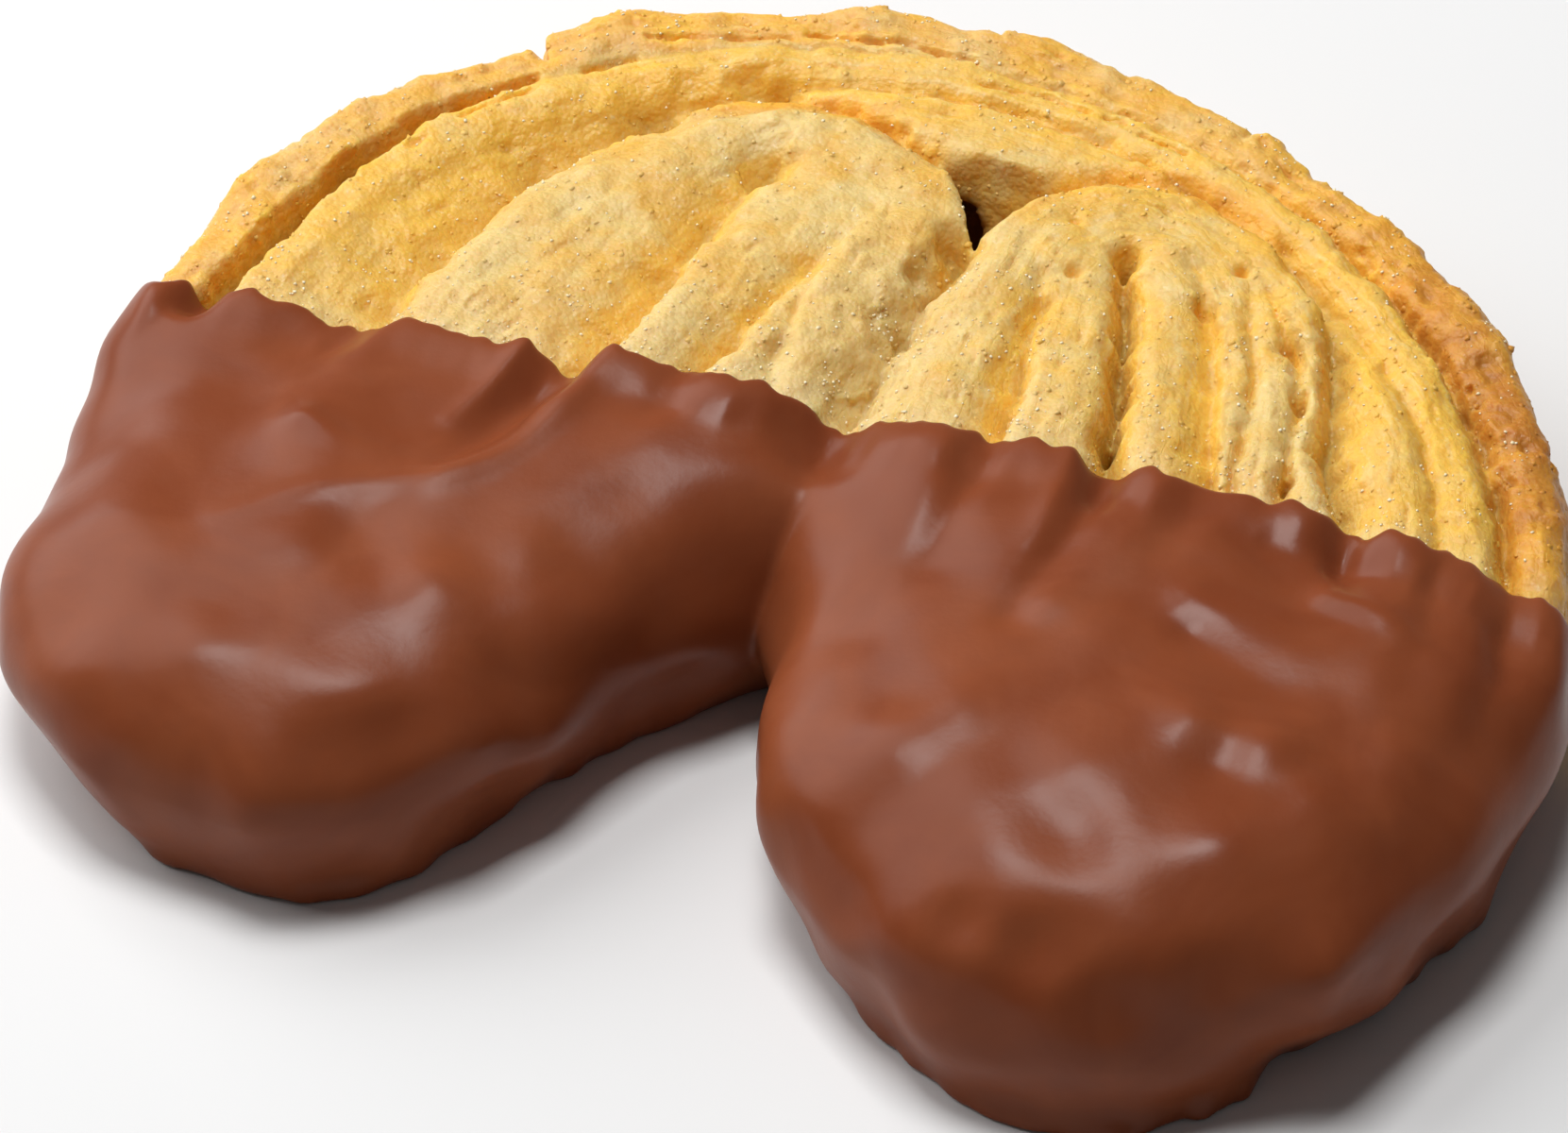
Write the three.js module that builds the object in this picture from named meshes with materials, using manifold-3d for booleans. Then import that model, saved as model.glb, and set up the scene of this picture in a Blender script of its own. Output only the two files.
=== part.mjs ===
// A palmier biscuit with its two front lobes dipped in milk chocolate.
// Millimetres, +Z up, +Y towards the arch, origin under the middle of the footprint.
import * as THREE from 'three';
import { ParametricGeometry } from 'three/addons/geometries/ParametricGeometry.js';
import { mergeVertices } from 'three/addons/utils/BufferGeometryUtils.js';
import Module from 'manifold-3d';

// Driving dimensions. Places in plan are measured from the front end of the seam between the folds,
// which lies this far from the middle of the footprint.
const SEAM_X = 1.828;
const SEAM_Y = -6.93;

// The arch: an oval outline, tilted in plan, with a rim and two bands of rolled pastry inside it.
// Insets of each ply's middle, half widths and crest heights run from the right front end, over the back,
// to the left front end.
const ARCH = { centre: [-1.5, -2.2], radii: [58.6, 54.3], tiltDeg: -49, fromDeg: -16, toDeg: 196 };
const ARCH_PLIES = [
  {
    insets: [1.8, 2.2, 2.4, 2.4, 2.5],
    halfWidths: [1.9, 2.3, 2.4, 2.5, 2.6],
    crests: [15.4, 16.6, 17.2, 16.8, 15.6],
    shoulder: 2.2,
  },
  {
    insets: [6.6, 6.8, 6.6, 7.2, 7.8],
    halfWidths: [3.2, 2.7, 2.2, 2.8, 3],
    crests: [18, 17.8, 17.2, 17, 16.4],
    shoulder: 3.4,
  },
  {
    insets: [13.2, 12.2, 10.6, 12.4, 13.6],
    halfWidths: [4, 3.3, 2.3, 3, 3.2],
    crests: [19.4, 18.8, 17, 16, 15.2],
    shoulder: 3.6,
  },
];

// The folds: hairpins of pastry, two nested on each side of the seam. Each runs up the leg nearer the seam,
// round its tip and down the outer leg.
const FOLD_PLIES = [
  {
    inner: [[9, -16], [5.6, 6], [4.4, 22], [4.8, 32.5]],
    tip: [10.6, 38.2],
    outer: [[18.4, 35], [25.4, 24.5], [29.8, 10], [33, -16]],
    halfWidths: [4.4, 4.3, 3.6, 4.2, 4.4],
    crests: [19.4, 19.2, 17.8, 18.8, 19.6],
    shoulder: 3.6,
  },
  {
    inner: [[16, -16], [13.3, 7], [11.4, 20], [10.4, 28.4]],
    tip: [13.6, 32],
    outer: [[17, 28.4], [19.6, 19], [21.9, 7], [24, -16]],
    halfWidths: [3.7, 3.6, 2.7, 3.6, 3.7],
    crests: [19.6, 19.4, 18.2, 19.4, 20],
    shoulder: 3.6,
  },
  {
    inner: [[-12, -16], [-6.7, 7], [-6.5, 21], [-8, 32]],
    tip: [-14.4, 38],
    outer: [[-21, 35.8], [-27.4, 27], [-32, 14], [-40, -16]],
    halfWidths: [5.9, 5.5, 3.8, 4.4, 4.6],
    crests: [19.4, 19.2, 18, 17.2, 16.6],
    shoulder: 3.6,
  },
  {
    inner: [[-26, -16], [-16.6, 6], [-15.2, 19], [-14.4, 28]],
    tip: [-17.8, 31.6],
    outer: [[-21, 27.6], [-23, 18], [-25.4, 6], [-33, -16]],
    halfWidths: [3.6, 3.5, 2.7, 3.6, 3.8],
    crests: [19.8, 19.6, 18, 17.2, 16.8],
    shoulder: 3.6,
  },
];
const CRAG_HEIGHT = 0.3;
const CRAG_WAVES = [23, 41];
const PLY_STEPS = { along: 32, round: 12 };
const PLY_FLATNESS = 0.6;
const PLY_FOOT_SHARE = 1 / 3;
const PLY_NOSE = 0.05;
const PLY_SAMPLES = 60;

// Every shape reaches this far below the floor before it is cut flat there.
const BELOW_FLOOR = 1;

// The dough under the plies, which closes the grooves between them from below.
const DOUGH = { inset: 3, crown: 13.6, rimTop: 10, equator: 5, round: 0.3 };
const DOUGH_STEPS = { round: 40, up: 14 };

// The gap that the folds leave at the foot of the arch.
const PIT = { centre: [-1.2, 36], radius: 6.4, floor: 4, sides: 12 };

// The two lobes, coat included. From each lobe's middle, at every 45 degrees from +X: how far it reaches
// in plan at its widest and at its foot. Then the height of its top, and the height at which it is widest.
const LOBES = [
  {
    centre: [-29, -10],
    reach: [23.4, 45, 34, 36.6, 28.8, 32.4, 28.8, 20.6],
    footReach: [21.8, 40, 30, 30, 20, 27, 29.4, 19.6],
    top: 18.6,
    equator: 9,
  },
  {
    centre: [28, -12],
    reach: [25.8, 33.8, 34, 43, 29.4, 28, 28, 26.6],
    footReach: [22.4, 28, 30, 38, 27.4, 26.6, 29.4, 24.4],
    top: 20,
    equator: 9,
  },
];
const LOBE_STEPS = { round: 44, up: 20 };
const CORE_STEPS = { round: 30, up: 12 };
const LOBE_TOP_ROUND = 0.6;
const LOBE_FOOT_ROUND = 0.35;
const FOOT_FLAT = 1.12;

// The coat: how thick it is, how far it follows the plies under it, how far the edge of the dip lies behind
// the seam's front end, and the waves in that edge.
const COAT = 1.6;
const COAT_OVER_PLIES = 1.1;
const COAT_FOLLOWS = 13;
const COAT_SOFTNESS = 1.2;
const COAT_BESIDE = [-2, -1, 0, 1, 2];
const COAT_EDGE_ROUND = 0.25;
const CLEARANCE = 0.3;
const CORE_CLEARANCE = 0.6;
const DIP_LINE = 6.4;
const DIP_SLANT = 0.02;
const DIP_WAVES = [
  { length: 17, height: 0.6 },
  { length: 7.3, height: 0.4 },
];
const DIP_STEP = 2.5;
const CORE_OVERLAP = 1;

// The blocks that cut the pastry and the coat reach past the whole biscuit on every side.
const BLOCK = { halfWidth: 70, front: -60, height: 40, foot: -10 };

const PASTRY_FINISH = { color: 0xe3bd72, roughness: 0.75, metalness: 0 };
const CHOCOLATE_FINISH = { color: 0x6b3a28, roughness: 0.35, metalness: 0 };

const wasm = await Module();
wasm.setup();

const FULL_TURN = 2 * Math.PI;
const SHORT_EDGE = 0.03;

// Manifold solid of a closed geometry, once vertices that coincide are one.
function solidOf(geometry) {
  geometry.deleteAttribute('normal');
  geometry.deleteAttribute('uv');
  const merged = mergeVertices(geometry);
  const corners = merged.index.array;
  const triangles = [];
  for (let i = 0; i < corners.length; i += 3) {
    const [a, b, c] = corners.slice(i, i + 3);
    if (a !== b && b !== c && c !== a) triangles.push(a, b, c);
  }
  return new wasm.Manifold(new wasm.Mesh({
    numProp: 3,
    vertProperties: merged.attributes.position.array,
    triVerts: new Uint32Array(triangles),
  }));
}

// The largest shell of a solid, so that slivers of air which the plies close off are filled,
// without the very short edges that cuts leave.
function filled(solid) {
  const shells = solid.simplify(SHORT_EDGE).decompose();
  return shells.reduce((largest, shell) => (shell.volume() > largest.volume() ? shell : largest));
}

function geometryOf(solid) {
  const mesh = solid.getMesh();
  const geometry = new THREE.BufferGeometry();
  geometry.setAttribute('position', new THREE.BufferAttribute(mesh.vertProperties, 3));
  geometry.setIndex(new THREE.BufferAttribute(mesh.triVerts, 1));
  geometry.computeVertexNormals();
  return geometry;
}

// A value between evenly spaced ones, at a share of the way along them.
function between(values, share) {
  const place = share * (values.length - 1);
  const first = Math.min(Math.floor(place), values.length - 2);
  const blend = THREE.MathUtils.smootherstep(place - first, 0, 1);
  return THREE.MathUtils.lerp(values[first], values[first + 1], blend);
}

// A value between ones that go evenly once round a circle.
function around(values, turnShare) {
  const place = THREE.MathUtils.euclideanModulo(turnShare, 1) * values.length;
  const first = Math.floor(place);
  const at = (k) => values[THREE.MathUtils.euclideanModulo(k, values.length)];
  const t = place - first;
  const rise = (at(first + 1) - at(first - 1)) / 2;
  const nextRise = (at(first + 2) - at(first)) / 2;
  const gap = at(first + 1) - at(first);
  return at(first) + t * (rise + t * (3 * gap - 2 * rise - nextRise + t * (rise + nextRise - 2 * gap)));
}

// An arc of the arch's outline, drawn in by a distance that changes along it.
class ArchCurve extends THREE.Curve {
  constructor(insets) {
    super();
    this.insets = insets;
  }

  getPoint(share, target = new THREE.Vector2()) {
    const inset = between(this.insets, share);
    const tilt = THREE.MathUtils.degToRad(ARCH.tiltDeg);
    const angle = THREE.MathUtils.degToRad(THREE.MathUtils.lerp(ARCH.fromDeg, ARCH.toDeg, share)) - tilt;
    target.set((ARCH.radii[0] - inset) * Math.cos(angle), (ARCH.radii[1] - inset) * Math.sin(angle));
    return target.rotateAround(new THREE.Vector2(), tilt).add(new THREE.Vector2(...ARCH.centre));
  }
}

function foldCurve({ inner, tip, outer }) {
  return new THREE.SplineCurve([...inner, tip, ...outer].map(([x, y]) => new THREE.Vector2(x, y)));
}

const PLIES = [
  ...ARCH_PLIES.map((ply) => ({ ...ply, curve: new ArchCurve(ply.insets) })),
  ...FOLD_PLIES.map((ply) => ({ ...ply, curve: foldCurve(ply) })),
].map((ply) => ({ ...ply, samples: ply.curve.getSpacedPoints(PLY_SAMPLES) }));

function crestOf(ply, share) {
  const crag = CRAG_WAVES.map((waves) => CRAG_HEIGHT * Math.sin(waves * share * Math.PI));
  return between(ply.crests, share) + crag[0] + crag[1];
}

// Height of the rounded top of a ply above a place in plan, or 0 beside it.
function plyTopAt(ply, x, y) {
  let nearest = 0;
  let gap = Infinity;
  ply.samples.forEach((sample, k) => {
    const distance = Math.hypot(sample.x - x, sample.y - y);
    if (distance < gap) [gap, nearest] = [distance, k];
  });
  const share = nearest / PLY_SAMPLES;
  const side = gap / between(ply.halfWidths, share);
  if (side >= 1) return 0;
  return crestOf(ply, share) - ply.shoulder * (1 - (1 - side * side) ** (PLY_FLATNESS / 2));
}

// One ply: a loaf-shaped section carried along its path, standing on the floor and nosed at both ends.
function plySolid(ply) {
  const skin = (share, turn, target) => {
    const place = ply.curve.getPointAt(share);
    const heading = ply.curve.getTangentAt(share);
    const toEnd = Math.min(share, 1 - share) / PLY_NOSE;
    const nose = toEnd < 1 ? Math.sqrt(1 - (1 - toEnd) ** 2) : 1;
    const halfWidth = between(ply.halfWidths, share) * nose;
    const shoulder = crestOf(ply, share) - ply.shoulder;
    const upper = turn < 1 - PLY_FOOT_SHARE;
    const angle = upper ? turn / (1 - PLY_FOOT_SHARE) : 1 + (turn - 1 + PLY_FOOT_SHARE) / PLY_FOOT_SHARE;
    const side = Math.cos(angle * Math.PI);
    const lift = Math.abs(Math.sin(angle * Math.PI));
    const across = halfWidth * (upper ? side : Math.sign(side) * Math.sqrt(Math.abs(side)));
    const rise = upper ? ply.shoulder * lift ** PLY_FLATNESS : -(shoulder + BELOW_FLOOR) * Math.sqrt(lift);
    target.set(place.x + heading.y * across, place.y - heading.x * across, shoulder + rise * nose);
  };
  return solidOf(new ParametricGeometry(skin, PLY_STEPS.along, PLY_STEPS.round));
}

// A closed cushion: a ball whose points are moved out to a reach in plan, a rise over the equator
// and a flat foot.
function cushionSolid({ centre, reachAt, riseAt, equator, foot, steps, topRound, footRound }) {
  const ball = new THREE.SphereGeometry(1, steps.round, steps.up).rotateX(Math.PI / 2);
  const points = ball.attributes.position;
  for (let i = 0; i < points.count; i += 1) {
    const direction = new THREE.Vector3().fromBufferAttribute(points, i);
    const level = Math.hypot(direction.x, direction.y);
    const angle = Math.atan2(direction.y, direction.x);
    const upper = direction.z > 0;
    const round = upper ? topRound : footRound;
    const lift = Math.abs(direction.z) ** round;
    const drop = upper ? 0 : Math.min(1, FOOT_FLAT * lift);
    const reach = reachAt(angle / FULL_TURN, drop) * level ** round;
    const x = centre[0] + reach * Math.cos(angle);
    const y = centre[1] + reach * Math.sin(angle);
    points.setXYZ(i, x, y, upper ? equator + riseAt(x, y, lift) : equator - (equator - foot) * drop);
  }
  return solidOf(ball);
}

// How closely the coat follows the plies: fully at the edge of the dip, less and less further forward.
function followAt(y) {
  const ahead = Math.max(0, DIP_LINE - y);
  return Math.exp(-((ahead / COAT_FOLLOWS) ** 2));
}

// Height of the coat before it rounds off at the sides: over the plies where it follows them,
// evened out over a few places beside each other, and level further forward.
function coatTop(lobe, x, y) {
  let sum = 0;
  for (const beside of COAT_BESIDE) {
    sum += Math.max(...PLIES.map((ply) => plyTopAt(ply, x + beside * COAT_SOFTNESS, y)), DOUGH.crown);
  }
  return THREE.MathUtils.lerp(lobe.top, sum / COAT_BESIDE.length + COAT_OVER_PLIES, followAt(y));
}

// A lobe drawn in by an inset. Its sides are steeper at the edge of the dip than at its front.
function lobeSolid(lobe, inset, steps) {
  const reachAt = (turn, drop) => {
    const reach = THREE.MathUtils.lerp(around(lobe.reach, turn), around(lobe.footReach, turn), drop);
    return reach - inset;
  };
  const riseAt = (x, y, lift) => {
    const round = THREE.MathUtils.lerp(1, COAT_EDGE_ROUND, followAt(y));
    return (coatTop(lobe, x, y) - inset - lobe.equator) * lift ** round;
  };
  return cushionSolid({
    centre: lobe.centre,
    reachAt,
    riseAt,
    equator: lobe.equator,
    foot: inset - BELOW_FLOOR,
    steps,
    topRound: LOBE_TOP_ROUND,
    footRound: LOBE_FOOT_ROUND,
  });
}

// The dough fills the arch's oval to a little inside its rim, and falls from its crown towards the rim.
function doughSolid() {
  const [long, short] = ARCH.radii.map((radius) => radius - DOUGH.inset);
  const tilt = THREE.MathUtils.degToRad(ARCH.tiltDeg);
  const reachAt = (turn) => {
    const angle = turn * FULL_TURN - tilt;
    return long * short / Math.hypot(short * Math.cos(angle), long * Math.sin(angle));
  };
  const riseAt = (x, y, lift) => {
    const share = Math.hypot(x - ARCH.centre[0], y - ARCH.centre[1]) / long;
    return (THREE.MathUtils.lerp(DOUGH.crown, DOUGH.rimTop, share) - DOUGH.equator) * lift;
  };
  return cushionSolid({
    centre: ARCH.centre,
    reachAt,
    riseAt,
    equator: DOUGH.equator,
    foot: -BELOW_FLOOR,
    steps: DOUGH_STEPS,
    topRound: DOUGH.round,
    footRound: DOUGH.round,
  });
}

// Everything in front of the edge of the dip, moved back by a distance.
function dipSolid(back) {
  const outline = new THREE.Shape();
  outline.moveTo(-BLOCK.halfWidth, BLOCK.front);
  outline.lineTo(BLOCK.halfWidth, BLOCK.front);
  for (let x = BLOCK.halfWidth; x >= -BLOCK.halfWidth; x -= DIP_STEP) {
    const waves = DIP_WAVES.map(({ length, height }) => height * Math.sin(x * FULL_TURN / length));
    outline.lineTo(x, DIP_LINE + DIP_SLANT * x + back + waves[0] + waves[1]);
  }
  const block = new THREE.ExtrudeGeometry(outline, { depth: BLOCK.height, bevelEnabled: false });
  return solidOf(block.translate(0, 0, BLOCK.foot));
}

// Everything above a height.
function aboveSolid(height) {
  const block = new THREE.BoxGeometry(2 * BLOCK.halfWidth, 2 * BLOCK.halfWidth, BLOCK.height);
  return solidOf(block.translate(0, 0, height + BLOCK.height / 2));
}

function pitSolid() {
  const gap = new THREE.CylinderGeometry(PIT.radius, PIT.radius, BLOCK.height, PIT.sides);
  gap.rotateX(Math.PI / 2).translate(PIT.centre[0], PIT.centre[1], PIT.floor + BLOCK.height / 2);
  return solidOf(gap);
}

function pastryGeometry() {
  let pastry = doughSolid().subtract(pitSolid());
  for (const ply of PLIES) pastry = pastry.add(plySolid(ply));
  pastry = pastry.intersect(aboveSolid(0)).subtract(dipSolid(CLEARANCE / 2));
  const coreInset = COAT + CORE_CLEARANCE;
  const coreRoom = dipSolid(CORE_OVERLAP).intersect(aboveSolid(coreInset));
  for (const lobe of LOBES) pastry = pastry.add(lobeSolid(lobe, coreInset, CORE_STEPS).intersect(coreRoom));
  return geometryOf(filled(pastry));
}

function chocolateGeometry() {
  const [left, right] = LOBES;
  const outside = lobeSolid(left, 0, LOBE_STEPS).add(lobeSolid(right, 0, LOBE_STEPS));
  const inside = lobeSolid(left, COAT, CORE_STEPS).add(lobeSolid(right, COAT, CORE_STEPS));
  const coat = outside.subtract(inside.intersect(aboveSolid(COAT)));
  return geometryOf(filled(coat.intersect(aboveSolid(0)).intersect(dipSolid(-CLEARANCE / 2))));
}

function piece(name, geometry, finish) {
  const mesh = new THREE.Mesh(geometry, new THREE.MeshStandardMaterial(finish));
  mesh.name = name;
  return mesh;
}

const palmier = new THREE.Group();
palmier.add(piece('pastry', pastryGeometry(), PASTRY_FINISH));
palmier.add(piece('chocolate_dip', chocolateGeometry(), CHOCOLATE_FINISH));
palmier.position.set(SEAM_X, SEAM_Y, 0);

export default palmier;
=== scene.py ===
"""Looks of a palmier biscuit with two lobes dipped in milk chocolate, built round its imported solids."""
import math

import bmesh
import bpy
import numpy as np
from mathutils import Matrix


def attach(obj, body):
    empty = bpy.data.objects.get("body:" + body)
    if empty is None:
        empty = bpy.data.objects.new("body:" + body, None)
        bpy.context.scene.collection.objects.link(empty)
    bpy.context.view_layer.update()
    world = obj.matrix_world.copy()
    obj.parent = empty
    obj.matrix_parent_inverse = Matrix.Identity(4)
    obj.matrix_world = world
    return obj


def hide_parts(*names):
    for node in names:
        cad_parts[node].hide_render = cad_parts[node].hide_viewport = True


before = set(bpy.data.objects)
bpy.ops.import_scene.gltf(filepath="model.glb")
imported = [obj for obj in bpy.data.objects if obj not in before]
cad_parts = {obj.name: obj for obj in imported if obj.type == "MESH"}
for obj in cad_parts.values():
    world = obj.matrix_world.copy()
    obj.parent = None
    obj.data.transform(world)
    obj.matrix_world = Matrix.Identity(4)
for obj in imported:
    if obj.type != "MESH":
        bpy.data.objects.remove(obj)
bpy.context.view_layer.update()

import openvdb
from mathutils import Vector

# Sizes are millimetres, measured in plan from the front end of the seam between the folds, as in the solids.
MM = 0.001
SEAM = np.array([1.828, -6.93, 0.0])
STEP = 0.25

# The arch: a tilted oval with a rim and two bands inside it. Lists run from the right front end, over the
# back, to the left front end.
ARCH_CENTRE = (-1.5, -2.2)
ARCH_RADII = (58.6, 54.3)
ARCH_TILT = math.radians(-49)
ARCH_SPAN = (math.radians(-16), math.radians(196))
ARCH_PLIES = (
    {"insets": (1.8, 2.2, 2.4, 2.4, 2.5), "crests": (15.4, 16.6, 17.2, 16.8, 15.6)},
    {"insets": (6.6, 6.8, 6.6, 7.2, 7.8), "crests": (18.2, 18.0, 17.2, 17.0, 16.4)},
    {"insets": (13.2, 12.2, 10.6, 12.4, 13.6), "crests": (19.4, 18.8, 17.0, 16.4, 16.0)},
)

# The folds: two nested hairpins on each side of the seam, up the leg nearer the seam, round the tip and down.
FOLD_PLIES = (
    {
        "path": ((9, -16), (5.6, 6), (4.4, 22), (4.8, 32.5), (10.6, 38.2), (18.4, 35), (25.4, 24.5),
                 (29.8, 10), (33, -16)),
        "crests": (19.4, 19.2, 17.8, 18.8, 19.6),
    },
    {
        "path": ((16, -16), (13.3, 7), (11.4, 20), (10.4, 28.4), (13.6, 32), (17, 28.4), (19.6, 19),
                 (21.9, 7), (24, -16)),
        "crests": (19.6, 19.4, 18.2, 19.4, 20.0),
    },
    {
        "path": ((-12, -16), (-6.7, 7), (-6.5, 21), (-8, 32), (-14.4, 38), (-21, 35.8), (-27.4, 27),
                 (-32, 14), (-40, -16)),
        "crests": (19.4, 19.2, 18.0, 17.2, 16.6),
    },
    {
        "path": ((-26, -16), (-16.6, 6), (-15.2, 19), (-14.4, 28), (-17.8, 31.6), (-21, 27.6), (-23, 18),
                 (-25.4, 6), (-33, -16)),
        "crests": (19.8, 19.6, 18.0, 17.2, 16.8),
    },
)

# How softly one ply's height gives way to the next, and how far apart the plies' flakes are drawn.
PLY_BLEND = 2.0
PLY_APART = 40

# Creases between the plies. Depths run along each, and widths are those of its left and right flank, walking
# along it. A crease closes as sharply as its sharpness says, and its edges are ragged.
ARCH_CREASES = (
    {"insets": (3.6, 4.2, 4.6, 4.8, 5.2), "depths": (2.4, 2.8, 0.5, 0.2, 0.0),
     "left": (1.0, 0.9, 0.4, 0.4, 0.5), "right": (0.7, 0.6, 0.4, 0.4, 0.5)},
    {"insets": (9.3, 9.0, 8.5, 9.7, 10.6), "depths": (0.8, 0.9, 1.2, 0.3, 0.0),
     "left": (0.7, 0.6, 0.5, 0.7, 1.0), "right": (0.5, 0.5, 0.5, 0.6, 0.8)},
)
CREASES = (
    {"path": ((-53.2, 3), (-52.0, 9), (-50.2, 17.2), (-47.8, 24.3), (-45.6, 29.2),
              (-42.6, 33.4), (-38.8, 37.4)),
     "depths": (5.6, 5.0, 4.4, 3.4, 1.6),
     "left": (0.9, 0.8, 0.7, 0.6, 0.3), "right": (1.0, 1.0, 0.9, 0.8, 0.35),
     "sharpness": 3.0},
    {"path": ((37.4, 3), (35.5, 9.6), (33, 14), (31.8, 18), (30.3, 24), (28.6, 29), (25.5, 34), (22, 38)),
     "depths": (3.2, 4.2, 4.2, 3.2, 1.4),
     "left": (0.8,) * 5, "right": (2.0, 2.0, 2.0, 1.7, 1.4)},
    {"path": ((-40, 3), (-39.4, 12), (-38, 16), (-37, 21), (-35.4, 26), (-33, 31), (-30, 35.6), (-25, 40),
              (-20, 42.6)),
     "depths": (2.4, 3.2, 3.8, 3.2, 1.6),
     "left": (3.4, 3.6, 3.4, 2.6, 1.5), "right": (1.3, 1.1, 0.9, 0.9, 0.9)},
    {"path": ((-2.3, 2), (-2.0, 8), (-1.8, 15), (-1.6, 22), (-0.8, 28.5)),
     "depths": (4.8, 4.5, 4.1, 4.3, 4.8),
     "left": (3.0, 2.6, 2.0, 1.6, 1.2), "right": (2.4, 2.2, 1.8, 1.5, 1.2)},
    {"path": ((10.2, 2), (9.5, 10), (8.4, 16), (7.5, 22), (6.2, 27.5)),
     "depths": (1.8, 2.4, 2.6, 2.1, 0.7),
     "left": (2.0, 2.0, 1.8, 1.4, 1.0), "right": (0.6, 0.5, 0.5, 0.6, 0.8)},
    {"path": ((19, 3), (18.2, 7.5), (16.9, 11.3), (15.8, 16.5), (14.4, 22), (12.9, 27.5), (11.4, 31.4)),
     "depths": (3.6, 4.6, 5.0, 4.6, 2.8),
     "left": (0.9, 0.8, 0.7, 0.7, 0.8), "right": (1.2, 1.0, 0.9, 0.9, 0.9)},
    {"path": ((26.4, 3), (26, 7.5), (24, 13.5), (21.9, 20.7), (19.7, 27), (17, 32.3)),
     "depths": (1.6, 2.2, 2.2, 1.7, 0.6),
     "left": (2.4, 2.2, 2.0, 1.6, 1.1), "right": (0.6,) * 5},
    {"path": ((27.8, 4), (27.1, 10), (25.6, 18), (24.2, 24), (21, 32)),
     "depths": (0.9, 1.2, 1.1, 0.9, 0.4),
     "left": (0.5,) * 5, "right": (0.5,) * 5},
    {"path": ((31.2, 3), (30.5, 11), (28.8, 20), (26.5, 25.6), (22.6, 31.5)),
     "depths": (1.0, 1.5, 1.2, 1.1, 0.5),
     "left": (0.5,) * 5, "right": (0.5,) * 5},
    {"path": ((-23, 2), (-21.8, 8), (-20.7, 15), (-20.1, 23), (-18.8, 29), (-17.9, 32.8)),
     "depths": (3.2, 3.2, 2.9, 2.7, 2.2),
     "left": (3.6, 3.6, 3.4, 2.8, 2.0), "right": (1.0, 0.9, 1.0, 1.2, 1.2)},
    {"path": ((-14.2, 2), (-13.6, 8), (-12.2, 14), (-11.2, 19), (-9.8, 26)),
     "depths": (2.2, 2.6, 2.3, 1.8, 0.8),
     "left": (2.6, 2.4, 2.2, 1.8, 1.4), "right": (0.9, 0.8, 0.8, 0.8, 0.8)},
    {"path": ((-8.4, 7), (-9.4, 14), (-9.6, 22), (-8.6, 30)),
     "depths": (0.3, 0.7, 0.8, 0.6, 0.2),
     "left": (0.7,) * 5, "right": (0.6,) * 5},
    {"path": ((-22.5, 43.0), (-14.8, 42.2), (-8.8, 40.0), (-5.8, 38.4)),
     "depths": (1.0, 1.6, 2.0, 2.6, 3.2),
     "left": (0.6, 0.6, 0.6, 0.7, 0.9), "right": (0.9, 0.9, 1.0, 1.0, 1.0)},
    {"path": ((3.2, 38.6), (7, 41.0), (13, 41.6), (19, 39.6)),
     "depths": (2.6, 1.7, 1.1, 0.9, 0.6),
     "left": (0.9, 0.7, 0.7, 0.8, 1.0), "right": (1.2, 1.0, 1.0, 1.0, 1.2)},
)
CREASE_SHARPNESS = 1.3
RAGGED = 0.22

# Short slots where the rolled layers have parted, and dimples where a fold ends: place, radius and depth.
SLOTS = (
    ((-32.5, 44.2), (-27.0, 46.6), (-21.8, 48.3)),
    ((-20.4, 49.2), (-13.0, 50.4), (-7.0, 50.3)),
    ((-35.5, 39.4), (-32.4, 42.2)),
    ((-42.6, 30.5), (-38.2, 36.4)),
    ((-6.0, 48.2), (-1.0, 48.6), (3.0, 48.0)),
    ((7.6, 46.6), (11.4, 45.4)),
    ((4.4, 47.6), (6.0, 47.2)),
    ((27.6, 39.8), (28.8, 38.8)),
    ((34.8, 33.0), (37.6, 30.0)),
    ((39.6, 28.0), (40.8, 26.6)),
    ((44.6, 20.4), (45.6, 18.8)),
    ((30.6, 10.4), (30.5, 13.0)),
    ((29.0, 21.4), (29.2, 19.6)),
)
SLOT_DEPTH = 1.0
SLOT_WIDTH = 0.26
DIMPLES = (
    (11.4, 31.9, 0.9, 2.6), (14.2, 22.6, 0.8, 2.4), (15.7, 17.8, 0.8, 2.4), (16.8, 11.4, 0.9, 2.2),
    (-18.0, 32.6, 1.9, 1.5), (20.2, 32.9, 0.6, 1.2), (6.5, 34.2, 0.45, 0.9), (26.2, 25.4, 0.8, 1.4),
    (28.8, 19.8, 0.7, 1.7), (30.7, 11.2, 0.8, 2.0), (8.2, 28.4, 0.5, 1.0), (18.6, 28.0, 0.5, 0.9),
    (-29, 37.0, 2.0, 1.0), (-3.0, 24.6, 0.8, 1.4), (-2.0, 29.0, 0.9, 1.6), (-23.4, 42.8, 1.0, 1.2),
)

# Places where the rim has cracked across and one side stands out: angle about the arch's middle, depth of the
# notch, how far the side nearer the back stands out, and the angle over which that side draws back in.
RIM_CRACKS = (
    (132, 2.2, 1.5, 26), (152.5, 0.7, 0.6, 10), (95, 0.8, 0.9, 22), (72, 0.6, 0.5, 12), (48, 0.5, 0.4, 8),
)
RIM_CRACK_WIDTH = 0.55
CRACK_TURN = 0.1
CRACK_WANDER = 1.6

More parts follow.
